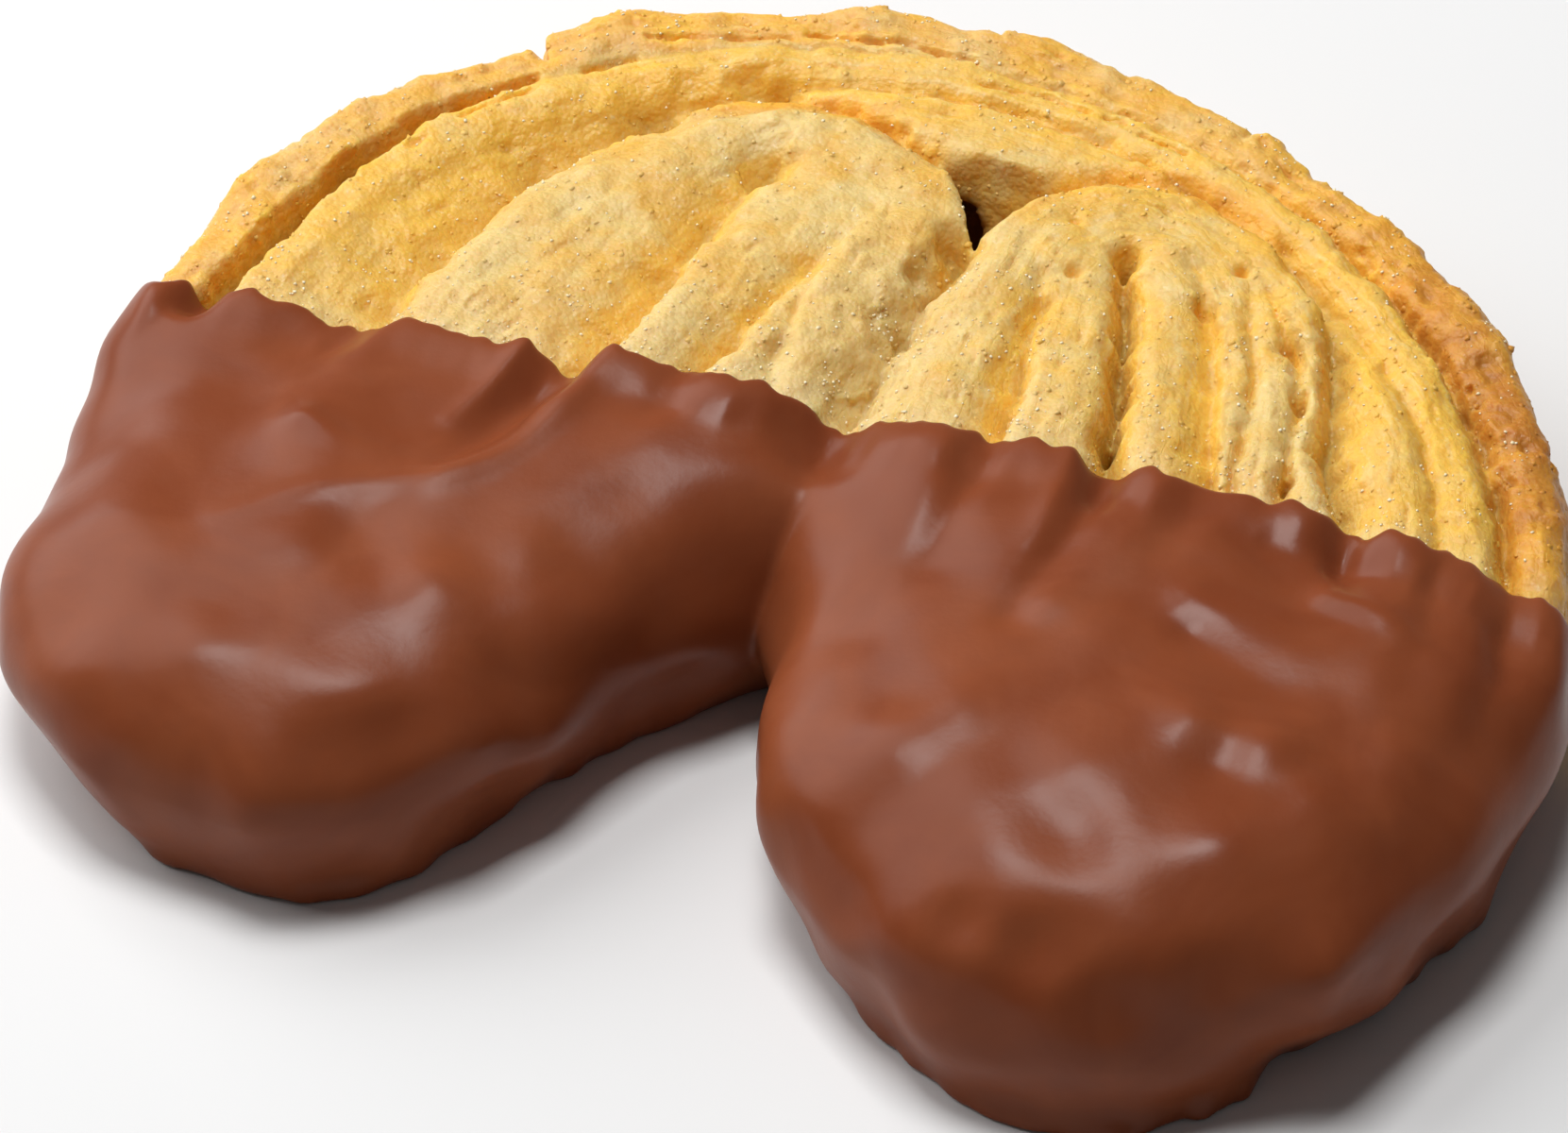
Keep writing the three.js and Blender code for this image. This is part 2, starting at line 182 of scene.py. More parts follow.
# The arch's wall: how far it puffs out and at what height, how far it is drawn in at the foot, how round its
# edges are, the steepest slope of the top that counts, and how far the underside stands off the table.
WALL_BULGE = 1.0
WALL_WIDEST_AT = 7.0
FOOT_DRAW = 1.3
FOOT_DRAW_HEIGHT = 5.0
RIM_ROUND = 1.9
STEEPEST = 3.0
UNDER_RISE = 0.12
UNDER_ROUND = 0.5

# Where the rim stands outside the oval: how far, the X or Y at which it does so most, and over what length.
RIM_OUT_BACK = (0.85, -18, 24)
RIM_OUT_RIGHT = (1.5, 33, 14)
RIM_OUT_LEFT = (0.9, 20, 12)

# The gap that the folds leave at the foot of the arch, and a burrow that goes on from its left corner.
PIT_CORNERS = ((-7.0, 39.9), (0.0, 30.0), (4.6, 39.9))
PIT_LEANS = (0.05, 0.05, 0.26)
PIT_BRIM = 17.0
PIT_FLOOR = 4.0
BURROW = np.array([-4.4, 39.6, 10.0])
BURROW_RADII = np.array([2.3, 2.6, 2.9])
PIT_ROUND = 0.7

# The lobes with their coat: reach in plan every 45 degrees from +X, at the widest and at the foot. Then the
# height of the widest, how square the dome is, more so by the dip's edge, and how softly the two lobes join.
LOBES = (
    {"centre": (-29, -10), "reach": (23.4, 45, 34, 36.0, 29.0, 32.4, 28.8, 20.6),
     "foot": (20.2, 40, 30, 29, 19.2, 25.2, 26.8, 16.4), "top": 18.6},
    {"centre": (28, -12), "reach": (25.8, 33.8, 34, 43, 29.4, 28, 28, 26.6),
     "foot": (22.6, 28, 30, 38, 26.6, 23.6, 28.6, 22.6), "top": 20.0},
)
LOBE_WIDEST_AT = 8.6
LOBE_ROUND = 2.8
LOBE_UNDERCUT = 1.5
LOBE_SQUARER = 4.0
LOBE_SQUARER_REACH = 7.0
LOBE_JOIN = 1.2

# The coat: how thick it is, how far it follows the plies, how it goes round the rim's two ends, how it stands
# off the table, and how far it overlaps the dough.
COAT = 1.05
COAT_FOLLOWS = 13.0
COAT_BEYOND_RIM = 0.15
RIM_COAT_REACH = 5.0
RIM_COAT_ROUND = 2.4
RIM_COAT_FADE = 4.0
RIM_COAT_JOIN = 2.0
COAT_CLEARANCE = 0.05
COAT_FOOT_ROUND = 0.5
COAT_OVERLAP = 0.3

# The edge of the dip: its line, the height, spacing and seed of each of its waves, and how round its lip is.
DIP_LINE = 6.4
DIP_SLANT = 0.02
DIP_WAVES = ((0.55, 8, 71), (0.65, 3.1, 72), (0.75, 1.5, 73))
LIP_ROUND = 0.9

# The dough in front of that edge: how far its layers go on, how deep in the coat its plain core lies, how far
# it stays under the coat's skin, how steeply that ends, and how far in front of the edge its crumb starts.
PASTRY_GOES_ON = 2.5
CORE_INSET = 1.9
COVERED = 0.6
COVER_SLOPE = 40
CRUMB_MARGIN = 4

# Where the chocolate has run out at the foot: path along the foot and how far.
FOOT_LIPS = (
    (((16, -36), (20, -38.2), (28, -40), (38.4, -37.7), (43, -34)), 1.2),
    (((-44, -32), (-39.3, -35.7), (-32, -34.6), (-24.4, -31.3)), 1.0),
)
FOOT_LIP_SPREAD = 3.0
FOOT_LIP_HEIGHT = 3.2
FOOT_DRIPS = 0.9
FOOT_DRIP_HEIGHT = 2.2

# Ridges and troughs in the coat, where it has run over the plies: path, height and width.
COAT_RIPPLES = (
    (((-23.8, 6), (-24.8, 1.5), (-26.3, -3.5), (-28, -8)), -1.5, 1.5),
    (((-20.2, 6), (-20.9, 1), (-21.9, -3), (-23.9, -7.5), (-27.6, -11), (-31.8, -13), (-36, -15.3),
      (-41, -19.3)), 0.8, 1.3),
    (((-26.8, 6), (-27.8, 1.2), (-29.3, -3.3)), 1.2, 1.1),
    (((-39, -8), (-35, -9), (-31, -9.5)), 0.5, 1.6),
    (((-44, -2), (-42, -9), (-42.5, -16)), -0.5, 4.5),
    (((-16, 2.5), (-17, 0.5)), 0.35, 2.0),
    (((9.6, 5.5), (9.4, -3), (9.0, -7)), -0.7, 1.4),
    (((6.7, 4), (6.6, 1)), 0.45, 2.0),
    (((15.9, 6), (16.2, -3.5)), 0.6, 1.0),
    (((18.4, 6), (18.5, -2), (17.4, -7), (17, -11)), -1.3, 1.4),
    (((23.2, 6), (22.8, 0), (22, -5)), 0.5, 1.5),
    (((28, 4), (33, 0), (39, -2)), -0.5, 1.8),
    (((29, -5), (34, -6), (38, -8.5), (41, -11)), 0.5, 2.0),
    (((30, -8.5), (36, -11.5), (41, -14.5)), -0.45, 1.7),
    (((38, -1.2), (43, -2.4), (48, -5)), 0.8, 1.5),
    (((36.8, 6), (37.5, 2)), -0.9, 1.2),
)

# Swells and hollows of the coat's top: place, height and radius.
COAT_SWELLS = (
    (-38, -33, 0.5, 4), (-22, -24, 0.5, 4), (-32, -36, -0.5, 4), (-17, -19, 0.35, 3), (-13.5, -17, 0.4, 2.5),
    (-28, -30, -0.35, 3), (-51, -9, 0.4, 3), (-50, -22, 0.4, 4), (-46, -29, 0.35, 4), (33, -17, 0.7, 2.4),
    (38.5, -17.5, 0.6, 2.4), (43, -20, 0.4, 2), (38, -27.5, 0.8, 3), (22, -34, 0.5, 4.5), (43, -34, 0.5, 3),
    (35.5, -20, -0.3, 2), (31, -36.5, -0.7, 2.4), (40, -38, -0.6, 3), (29, -28, -0.8, 3.6), (12, -26, 0.3, 4),
    (19.2, -9.4, 0.4, 1.8), (-23, -20.5, 0.5, 3.5), (-18.8, -14.8, 0.4, 2.2),
)

# Soft dents in the coat's shoulders: place, depth and radius.
COAT_DENTS = (
    (-26, -35.5, 13.5, 1.4, 3.5), (-22, -32, 13.5, 1.3, 3.0), (-16.5, -25, 14, 0.8, 3.0),
    (28, -37.5, 14.5, 1.4, 2.6), (35, -39.2, 12.5, 2.0, 3.6), (40.6, -35, 13.4, 1.4, 2.8),
    (22.6, -37, 15, 0.8, 2.2), (48, -22, 15.5, 0.7, 3.0),
)

# The two skins: how many triangles each is thinned to, and how often it is then evened out.
PASTRY_TRIANGLES = 190000
COAT_TRIANGLES = 130000
PASTRY_EVENING = 0
COAT_EVENING = 3

# Loose grains on the pastry: shape, number, sizes across, and how far a grain's middle stands off, in radii.
CRUMBS = {"kind": "crumb", "count": 2600, "sizes": (0.3, 0.7), "rise": -0.6, "seed": 91}
SUGAR = {"kind": "crystal", "count": 1200, "sizes": (0.12, 0.3), "rise": 0.0, "seed": 92}

# Where the pastry's tones lie: along the seam, where less shade is painted in the creases, as far back as
# some Y, at the share of a fold's length where its browned tip is, and round the burrow, where shade is
# painted.
# A pair is where a tone starts to change and where it has done so.
SEAM_LINE = ((-2.0, 4), (-1.6, 26))
SEAM_SPREAD = 6
SEAM_BACK = 30
TIP_SHARE = 0.5
TIP_SPREAD = 0.1
BURROW_MARGIN = 0.6
RIM_TONE = (3.8, 5.2)
BAND_TONE = (9, 17)
OUTER_WALL_TONE = (1.5, 3.0)
RIGHT_TONE = (18, 40)
PIT_TONE = (-0.5, 0.8)
LAYER_STRETCH = 0.07

# Colours of the baked dough. Lists of tones run from cool to warm patches, each with its place on the scale.
CRUMB_TONES = ((0.40, (0.745, 0.545, 0.212)), (0.5, (0.73, 0.49, 0.152)), (0.62, (0.72, 0.42, 0.085)))
CRUST_TONES = ((0.38, (0.68, 0.29, 0.028)), (0.5, (0.78, 0.37, 0.036)), (0.62, (0.84, 0.46, 0.055)))
TOASTED_TONES = ((0.38, (0.48, 0.18, 0.02)), (0.5, (0.59, 0.25, 0.03)), (0.62, (0.70, 0.34, 0.048)))
FRESH_CRUMB = (0.73, 0.56, 0.28)
# Golden crust. Where it is laid into the creases' flanks by their depth, it is painted shade.
GILDED = (0.83, 0.48, 0.065)
BETWEEN_LAYERS = (0.70, 0.44, 0.09)
ON_LAYERS = (0.78, 0.60, 0.28)
# Painted shade: a darker tone laid deep in the creases.
CREASE_SHADE_COLOUR = (0.65, 0.43, 0.11)
DARK_SPECK = (0.22, 0.09, 0.02)
BRIGHT_GRAIN = (0.84, 0.68, 0.39)
DARK_GRAIN = (0.71, 0.41, 0.08)
# Painted shade in the burrow and low in the gap at the arch's foot.
HOLE_SHADE_COLOUR = (0.2, 0.075, 0.015)

# Colours of the sugar, the chocolate and the table.
SUGAR_TONES = ((0.35, (0.90, 0.74, 0.42)), (0.65, (0.94, 0.85, 0.60)))
CHOCOLATE_TONES = ((0.35, (0.203, 0.047, 0.0158)), (0.65, (0.245, 0.062, 0.0215)))
CHOCOLATE_MOTTLE = (0.21, 0.055, 0.022)
TABLE_TONES = ((0.3, (0.78, 0.78, 0.78)), (0.7, (0.80, 0.80, 0.80)))

# How far red, green and blue light sinks in, in metres, and what share of the light does.
DOUGH_GLOW = (0.0024, 0.0015, 0.0008)
DOUGH_GLOW_SHARE = 0.6
CHOCOLATE_GLOW = (0.0016, 0.0006, 0.0003)
CHOCOLATE_GLOW_SHARE = 0.08


# Smooth random relief

def waver(u, v, seed):
    """Smooth random swells from about -1 to 1, one unit across."""
    draw = np.random.default_rng(seed)
    turn = draw.permutation(256)
    angle = draw.uniform(0, 2 * np.pi, 256)
    slope_u = np.cos(angle).astype(np.float32)
    slope_v = np.sin(angle).astype(np.float32)
    column = np.floor(u).astype(np.int32)
    row = np.floor(v).astype(np.int32)
    fu = (u - column).astype(np.float32)
    fv = (v - row).astype(np.float32)
    ease_u = fu * fu * fu * (fu * (fu * 6 - 15) + 10)
    ease_v = fv * fv * fv * (fv * (fv * 6 - 15) + 10)

    def corner(du, dv):
        pick = turn[(turn[(column + du) & 255] + row + dv) & 255]
        return slope_u[pick] * (fu - du) + slope_v[pick] * (fv - dv)

    near = corner(0, 0) * (1 - ease_u) + corner(1, 0) * ease_u
    far = corner(0, 1) * (1 - ease_u) + corner(1, 1) * ease_u
    return 1.4 * (near * (1 - ease_v) + far * ease_v)


def lumps(axes, spacing, seed):
    """Smooth random lumps through a block, of unit strength, with a knot every spacing."""
    draw = np.random.default_rng(seed)
    counts = [int((axis[-1] - axis[0]) / spacing) + 5 for axis in axes]
    block = draw.standard_normal(counts).astype(np.float32)
    for direction, axis in enumerate(axes):
        place = (axis - axis[0]) / spacing
        first = np.floor(place).astype(np.int32)
        t = (place - first).astype(np.float32)
        shares = ((1 - t) ** 3 / 6, (3 * t ** 3 - 6 * t ** 2 + 4) / 6,
                  (-3 * t ** 3 + 3 * t ** 2 + 3 * t + 1) / 6, t ** 3 / 6)
        shape = [1, 1, 1]
        shape[direction] = len(axis)
        block = sum(np.take(block, first + k, axis=direction) * share.reshape(shape)
                    for k, share in enumerate(shares))
    return block / block.std()


# Curves in plan

def between(values, share):
    """A value between evenly spaced ones, at a share of the way along them."""
    values = np.asarray(values, np.float32)
    place = np.clip(share, 0, 1) * (len(values) - 1)
    first = np.minimum(place.astype(np.int32), len(values) - 2)
    t = place - first
    smooth = t * t * t * (t * (t * 6 - 15) + 10)
    return values[first] * (1 - smooth) + values[first + 1] * smooth


def spline(points, count):
    """Points along a smooth curve through the given ones."""
    points = np.asarray(points, float)
    if len(points) == 2:
        return points
    place = np.linspace(0, len(points) - 1, count)
    first = np.minimum(place.astype(int), len(points) - 2)
    t = (place - first)[:, None]
    last = len(points) - 1
    a, b, c, d = (points[np.clip(first + k, 0, last)] for k in (-1, 0, 1, 2))
    line = 2 * b + (c - a) * t
    return 0.5 * (line + (2 * a - 5 * b + 4 * c - d) * t ** 2 + (3 * b - a - 3 * c + d) * t ** 3)


def arch_arc(insets, count=70):
    """Points along the arch's outline, drawn in by insets that change along it."""
    share = np.linspace(0, 1, count)
    inset = between(insets, share)
    angle = ARCH_SPAN[0] + (ARCH_SPAN[1] - ARCH_SPAN[0]) * share - ARCH_TILT
    u = (ARCH_RADII[0] - inset) * np.cos(angle)
    v = (ARCH_RADII[1] - inset) * np.sin(angle)
    x = u * math.cos(ARCH_TILT) - v * math.sin(ARCH_TILT) + ARCH_CENTRE[0]
    y = u * math.sin(ARCH_TILT) + v * math.cos(ARCH_TILT) + ARCH_CENTRE[1]
    return np.stack([x, y], axis=1)


def beside(path, x, y):
    """Signed distance from a path in plan, and how far along it the nearest place is: length and share."""
    steps = np.linalg.norm(np.diff(path, axis=0), axis=1)
    starts = np.concatenate([[0], np.cumsum(steps)])
    nearest = np.full(x.shape, np.inf, np.float32)
    side = np.zeros(x.shape, np.float32)
    along = np.zeros(x.shape, np.float32)
    for (ax, ay), (bx, by), start, length in zip(path[:-1], path[1:], starts, steps):
        ux, uy = (bx - ax) / length, (by - ay) / length
        t = np.clip((x - ax) * ux + (y - ay) * uy, 0, length)
        dx = x - ax - t * ux
        dy = y - ay - t * uy
        gap = dx * dx + dy * dy
        closer = gap < nearest
        nearest[closer] = gap[closer]
        side[closer] = (ux * dy - uy * dx)[closer]
        along[closer] = (start + t)[closer]
    return np.copysign(np.sqrt(nearest), side), along, along / starts[-1]


def soften(field, reach):
    """A plan map evened out over a reach, by three passes of a running mean."""
    half = max(1, int(round(reach / STEP)))
    for axis in (0, 1) * 3:
        padded = np.concatenate([np.repeat(np.take(field, [0], axis), half + 1, axis), field,
                                 np.repeat(np.take(field, [-1], axis), half, axis)], axis)
        total = np.cumsum(padded, axis=axis, dtype=np.float64)
        count = field.shape[axis]
        ahead = np.take(total, np.arange(2 * half + 1, 2 * half + 1 + count), axis)
        behind = np.take(total, np.arange(count), axis)
        field = ((ahead - behind) / (2 * half + 1)).astype(np.float32)
    return field


def ease(low, high, value):
    """A smooth rise from 0 to 1 as a value goes from low to high."""
    t = np.clip((value - low) / (high - low), 0, 1)
    return t * t * (3 - 2 * t)


def hump(value, rise, at, width):
    """A smooth hump of some rise, highest where the value is at its middle."""
    return rise * np.exp(-((value - at) / width) ** 2)


def round_meet(a, b, radius):
    """Where two shapes overlap, with the edge between them rounded."""
    p = np.maximum(a + radius, 0)
    q = np.maximum(b + radius, 0)
    return np.minimum(np.maximum(a, b) + radius, 0) + np.sqrt(p * p + q * q) - radius


def soft_join(a, b, radius):
    """Two shapes as one, with the corner between them filled softly."""
    h = np.clip(0.5 + 0.5 * (b - a) / radius, 0, 1)
    return b * (1 - h) + a * h - radius * h * (1 - h)


# The block of space that the fields fill.
AXIS_X = np.arange(-61.5, 58.5, STEP, dtype=np.float32)
AXIS_Y = np.arange(-44.5, 57.0, STEP, dtype=np.float32)
AXIS_Z = np.arange(-1.0, 23.5, STEP, dtype=np.float32)
PLAN_X, PLAN_Y = np.meshgrid(AXIS_X, AXIS_Y, indexing="ij")


def swells(spacing, seed):
    """Smooth random swells over the plan, one spacing across."""
    return waver(PLAN_X / spacing, PLAN_Y / spacing, seed)


def wander(length, spacing, line, seed):
    """Smooth random values along a line, one spacing across, which differ from line to line."""
    return waver(length / spacing, length * 0 + line, seed)


def outline_inset():
    """How far inside the arch's oval each place lies."""
    x = PLAN_X - ARCH_CENTRE[0]
    y = PLAN_Y - ARCH_CENTRE[1]
    u = x * math.cos(ARCH_TILT) + y * math.sin(ARCH_TILT)
    v = -x * math.sin(ARCH_TILT) + y * math.cos(ARCH_TILT)
    q = np.hypot(u / ARCH_RADII[0], v / ARCH_RADII[1])
    return q * (1 - q) / np.maximum(np.hypot(u / ARCH_RADII[0] ** 2, v / ARCH_RADII[1] ** 2), 1e-6)


def dip_edge():
    """Where the edge of the dip lies at each X, wavy as set chocolate."""
    waves = sum(height * wander(PLAN_X, spacing, 0, seed) for height, spacing, seed in DIP_WAVES)
    return DIP_LINE + DIP_SLANT * PLAN_X + waves


def pushed_plan():
    """Plan places pushed about a little, so that the plies and creases wander."""

    def push(place, seed):
        return place + 0.35 * swells(3.6, seed) + 0.14 * swells(1.2, seed + 1)

    return push(PLAN_X, 11), push(PLAN_Y, 13)


def ply_maps(x, y):
    """Plan maps of the plies: the height of their tops, and the place across and along the nearest ply."""
    plies = [(arch_arc(ply["insets"]), ply["crests"]) for ply in ARCH_PLIES]
    plies += [(spline(ply["path"], 60), ply["crests"]) for ply in FOLD_PLIES]
    weight_sum = np.zeros_like(PLAN_X)
    height = np.zeros_like(PLAN_X)
    nearest = np.full(PLAN_X.shape, np.inf, np.float32)
    across = np.zeros_like(PLAN_X)
    along = np.zeros_like(PLAN_X)
    for k, (path, crests) in enumerate(plies):
        side, length, share = beside(path, x, y)
        weight = 1 / (side * side + PLY_BLEND) ** 1.5
        height += weight * between(crests, share)
        weight_sum += weight
        closer = np.abs(side) < nearest
        nearest[closer] = np.abs(side)[closer]
        across[closer] = side[closer] + PLY_APART * k
        along[closer] = length[closer]
    return height / weight_sum, across, along


def crease_map(x, y):
    """Plan map of the depth of the creases, slots and dimples."""
    crease = np.zeros_like(PLAN_X)
    creases = [(arch_arc(shape["insets"]), shape) for shape in ARCH_CREASES]
    creases += [(spline(shape["path"], 30), shape) for shape in CREASES]
    for k, (path, shape) in enumerate(creases):
        side, length, share = beside(path, x, y)
        side = side + RAGGED * wander(length, 1.1, k, 22)
        depth = between(shape["depths"], share) * (0.9 + 0.4 * wander(length, 3.5, k, 21))
        width = np.where(side > 0, between(shape["left"], share), between(shape["right"], share))
        sharpness = shape.get("sharpness", CREASE_SHARPNESS)
        crease += np.maximum(depth, 0) * np.exp(-(np.abs(side) / width) ** sharpness)
    for k, points in enumerate(SLOTS):
        side, length, _ = beside(np.asarray(points, float), x, y)
        depth = SLOT_DEPTH * np.clip(0.7 + 0.9 * wander(length, 2.2, k, 23), 0.1, 1.4)
        crease += hump(side, depth, 0, SLOT_WIDTH)
    for middle_x, middle_y, radius, depth in DIMPLES:
        crease += depth * np.exp(-((x - middle_x) ** 2 + (y - middle_y) ** 2) / radius ** 2)
    return crease


def pastry_maps():
    """Plan maps of the pastry: height, creases, direction of the flakes, inset from the rim and dip edge."""
    x, y = pushed_plan()
    height, across, along = ply_maps(x, y)
    return {"height": height, "across": across, "along": along, "crease": crease_map(x, y),
            "inset": outline_inset(), "edge": dip_edge()}


def crispness():
    """Where the dough's layers stand out as crisp lines: mostly on the right and at the back."""
    right = ease(-8, 4, PLAN_X)
    return 0.3 + 0.7 * (right + ease(38, 45, PLAN_Y) * (1 - right))


def flake_relief(across, along):
    """Fine layers of dough on edge, which run along the plies, with slits where they part."""
    crisp = crispness()
    lines = 0.55 * waver(across / 0.62, along / 11, 31) + 0.75 * waver(across / 1.3, along / 16, 32)
    slits = 1.5 * np.maximum(waver(across / 0.75, along / 3.2, 33) - 0.42, 0)
    dents = np.maximum(swells(1.5, 35) - 0.3, 0) + 0.3 * swells(1.9, 36)
    relief = (0.1 + 0.1 * crisp) * lines - (0.3 + 0.3 * crisp) * slits
    return relief + (0.24 - 0.1 * crisp) * swells(3.4, 34) - (0.3 - 0.12 * crisp) * dents


def rim_cracks():
    """How far the rim stands out or is notched at its cracks, which wander and close towards the foot."""
    turns = np.arange(0, 360, CRACK_TURN, dtype=np.float32)
    out = np.zeros((len(turns), len(AXIS_Z)), np.float32)
    width = np.degrees(RIM_CRACK_WIDTH / ARCH_RADII[1])
    for k, (at, notch, stand_out, draw_in) in enumerate(RIM_CRACKS):
        drift = wander(AXIS_Z, 3.4, k, 46) + 0.5 * wander(AXIS_Z, 1.1, k, 47)
        past = at + CRACK_WANDER * drift - turns[:, None]
        out += stand_out * ease(0, 13, AXIS_Z) * np.where(past > 0, 1 - ease(0, draw_in, past), 0)
        out -= notch * ease(2, 15, AXIS_Z) * hump(past, 1, 0, width)
    angle = np.degrees(np.arctan2(PLAN_Y - ARCH_CENTRE[1], PLAN_X - ARCH_CENTRE[0])) % 360
    return out[np.minimum((angle / CRACK_TURN).astype(int), len(turns) - 1)]


def rim_reach():
    """How far the rim stands outside the oval, in plan."""
    reach = hump(PLAN_X, *RIM_OUT_BACK)
    reach += hump(PLAN_Y, *RIM_OUT_RIGHT) * ease(14, 30, PLAN_X)
    return reach + hump(PLAN_Y, *RIM_OUT_LEFT) * ease(30, 44, -PLAN_X)


def wall_field(inset):
    """Field of the arch's wall, from insets in plan: drawn in at the foot, and puffed out above it."""
    drawn_in = FOOT_DRAW * np.clip(1 - AXIS_Z / FOOT_DRAW_HEIGHT, 0, 1) ** 2
    puffed = WALL_BULGE * np.clip(1 - ((AXIS_Z - WALL_WIDEST_AT) / WALL_WIDEST_AT) ** 2, 0, None)
    return -inset[:, :, None] + drawn_in - puffed


def pit_distance():
    """Distance from the gap at the arch's foot, negative inside it. The arch's wall leans in going down."""
    corners = np.asarray(PIT_CORNERS, float)
    distance = np.full((*PLAN_X.shape, 1), -np.inf, np.float32)
    for (ax, ay), (bx, by), lean in zip(corners, np.roll(corners, -1, axis=0), PIT_LEANS):
        length = math.hypot(bx - ax, by - ay)
        outside = ((by - ay) * (ax - PLAN_X) + (bx - ax) * (PLAN_Y - ay)) / -length
        distance = np.maximum(distance, outside[:, :, None] + lean * (PIT_BRIM - AXIS_Z))
    return distance


def burrow_distance():
    """Distance from the hole that goes on under the left fold from the gap's corner, negative inside it."""
    x = (PLAN_X - BURROW[0]) / BURROW_RADII[0]
    y = (PLAN_Y - BURROW[1]) / BURROW_RADII[1]
    z = (AXIS_Z - BURROW[2]) / BURROW_RADII[2]
    return (np.sqrt((x ** 2 + y ** 2)[:, :, None] + z ** 2) - 1) * BURROW_RADII.min()


def add_crumb(pastry, inset):
    """Adds crumb and blisters to the dough's field, behind the edge of the dip."""
    behind = AXIS_Y > DIP_LINE - CRUMB_MARGIN
    axes = (AXIS_X, AXIS_Y[behind], AXIS_Z)
    on_rim = 1 - ease(1.5, 4.5, inset)
    by_seam = hump(PLAN_X, 0.6, -2, 4.5) * ease(4, 10, 34 - PLAN_Y)
    rough = (0.6 + 0.4 * (1 - ease(3.0, 5.0, inset)) + by_seam) * (0.75 + 0.5 * swells(5, 45))
    crumb = 0.07 * lumps(axes, 0.42, 61) + 0.12 * lumps(axes, 0.9, 62)
    blisters = 0.26 * lumps(axes, 4.6, 66) + 0.12 * lumps(axes, 2.0, 67)
    pastry[:, behind, :] += crumb * rough[:, behind, None] + 0.1 * lumps(axes, 2.4, 63)
    pastry[:, behind, :] += blisters * on_rim[:, behind, None]


def pastry_shape(maps, rim_inset, pit):
    """Field of the baked dough: top, wall, the gap at the arch's foot, crumb and underside."""
    top = maps["height"] - maps["crease"] + flake_relief(maps["across"], maps["along"])
    slope_x, slope_y = np.gradient(top, STEP)
    steepness = np.sqrt(1 + np.minimum(slope_x ** 2 + slope_y ** 2, STEEPEST ** 2))
    over = (AXIS_Z - top[:, :, None]) / steepness[:, :, None]
    wall_waves = 0.35 * swells(6, 41) + 0.15 * swells(2.4, 42)
    pastry = round_meet(over, wall_field(rim_inset + wall_waves) - rim_cracks(), RIM_ROUND)
    pastry = round_meet(pastry, -np.maximum(pit, PIT_FLOOR - AXIS_Z), PIT_ROUND)
    pastry = np.maximum(pastry, -burrow_distance())
    add_crumb(pastry, maps["inset"])
    under = UNDER_RISE + 0.22 * np.minimum(maps["crease"], 3) + 0.1 * swells(3, 44)
    return round_meet(pastry, np.maximum(under, 0)[:, :, None] - AXIS_Z, UNDER_ROUND)


def lobe_shape(lobe, top):
    """Field of one lobe: a rounded dome above its widest height, and a wall that leans in below it."""
    x = PLAN_X - lobe["centre"][0]
    y = PLAN_Y - lobe["centre"][1]
    turn = np.arctan2(y, x) / (2 * np.pi) % 1.0

    def around(values):
        values = np.asarray(values, np.float32)
        count = len(values)
        place = turn * count
        first = place.astype(np.int32)
        t = place - first
        a, b, c, d = (values[(first + k) % count] for k in (-1, 0, 1, 2))
        return b + 0.5 * t * (c - a + t * (2 * a - 5 * b + 4 * c - d + t * (3 * (b - c) + d - a)))

    widest = around(lobe["reach"])
    before_edge = np.maximum(DIP_LINE - PLAN_Y, 0)
    power = (LOBE_ROUND + LOBE_SQUARER * np.exp(-(before_edge / LOBE_SQUARER_REACH) ** 2))[:, :, None]
    out = (np.hypot(x, y) / widest)[:, :, None] ** power
    up = np.clip((AXIS_Z - LOBE_WIDEST_AT) / (top - LOBE_WIDEST_AT)[:, :, None], 0, None) ** power
    total = np.maximum(out + up, 1e-6)
    scale = (out * widest[:, :, None] + up * (top - LOBE_WIDEST_AT)[:, :, None]) / total
    dome = (total ** (1 / power) - 1) * scale
    lean = np.clip((LOBE_WIDEST_AT - AXIS_Z) / (LOBE_WIDEST_AT + 1), 0, 1)
    return dome + (widest - around(lobe["foot"]))[:, :, None] * lean ** LOBE_UNDERCUT


def foot_lips():
    """How far the chocolate has run out over the table at the foot of the coat, in plan."""
    out = np.zeros_like(PLAN_X)
    for path, reach in FOOT_LIPS:
        gap, _, _ = beside(spline(path, 20), PLAN_X, PLAN_Y)
        out = np.maximum(out, hump(gap, reach, 0, FOOT_LIP_SPREAD))
    return out * (0.75 + 0.5 * swells(4, 53))


def coat_top(bare):
    """Plan map of the coat's top on each lobe: over the plies by the dip's edge, evener further forward."""
    follow = np.exp(-(np.maximum(DIP_LINE - PLAN_Y, 0) / COAT_FOLLOWS) ** 2)
    over_plies = soften(bare, 0.6) * 0.6 + soften(bare, 1.6) * 0.4 + COAT
    relief = 0.25 * swells(10, 51) + 0.05 * swells(4, 52)
    for path, rise, width in COAT_RIPPLES:
        side, _, share = beside(spline(path, 24), PLAN_X, PLAN_Y)
        fade = ease(0, 0.12, share + 0.12) * (1 - 0.75 * share)
        relief += rise * fade * hump(side, 1, 0, width)
    for x, y, rise, radius in COAT_SWELLS:
        relief += rise * np.exp(-((PLAN_X - x) ** 2 + (PLAN_Y - y) ** 2) / radius ** 2)
    return [follow * over_plies + (1 - follow) * lobe["top"] + relief for lobe in LOBES]


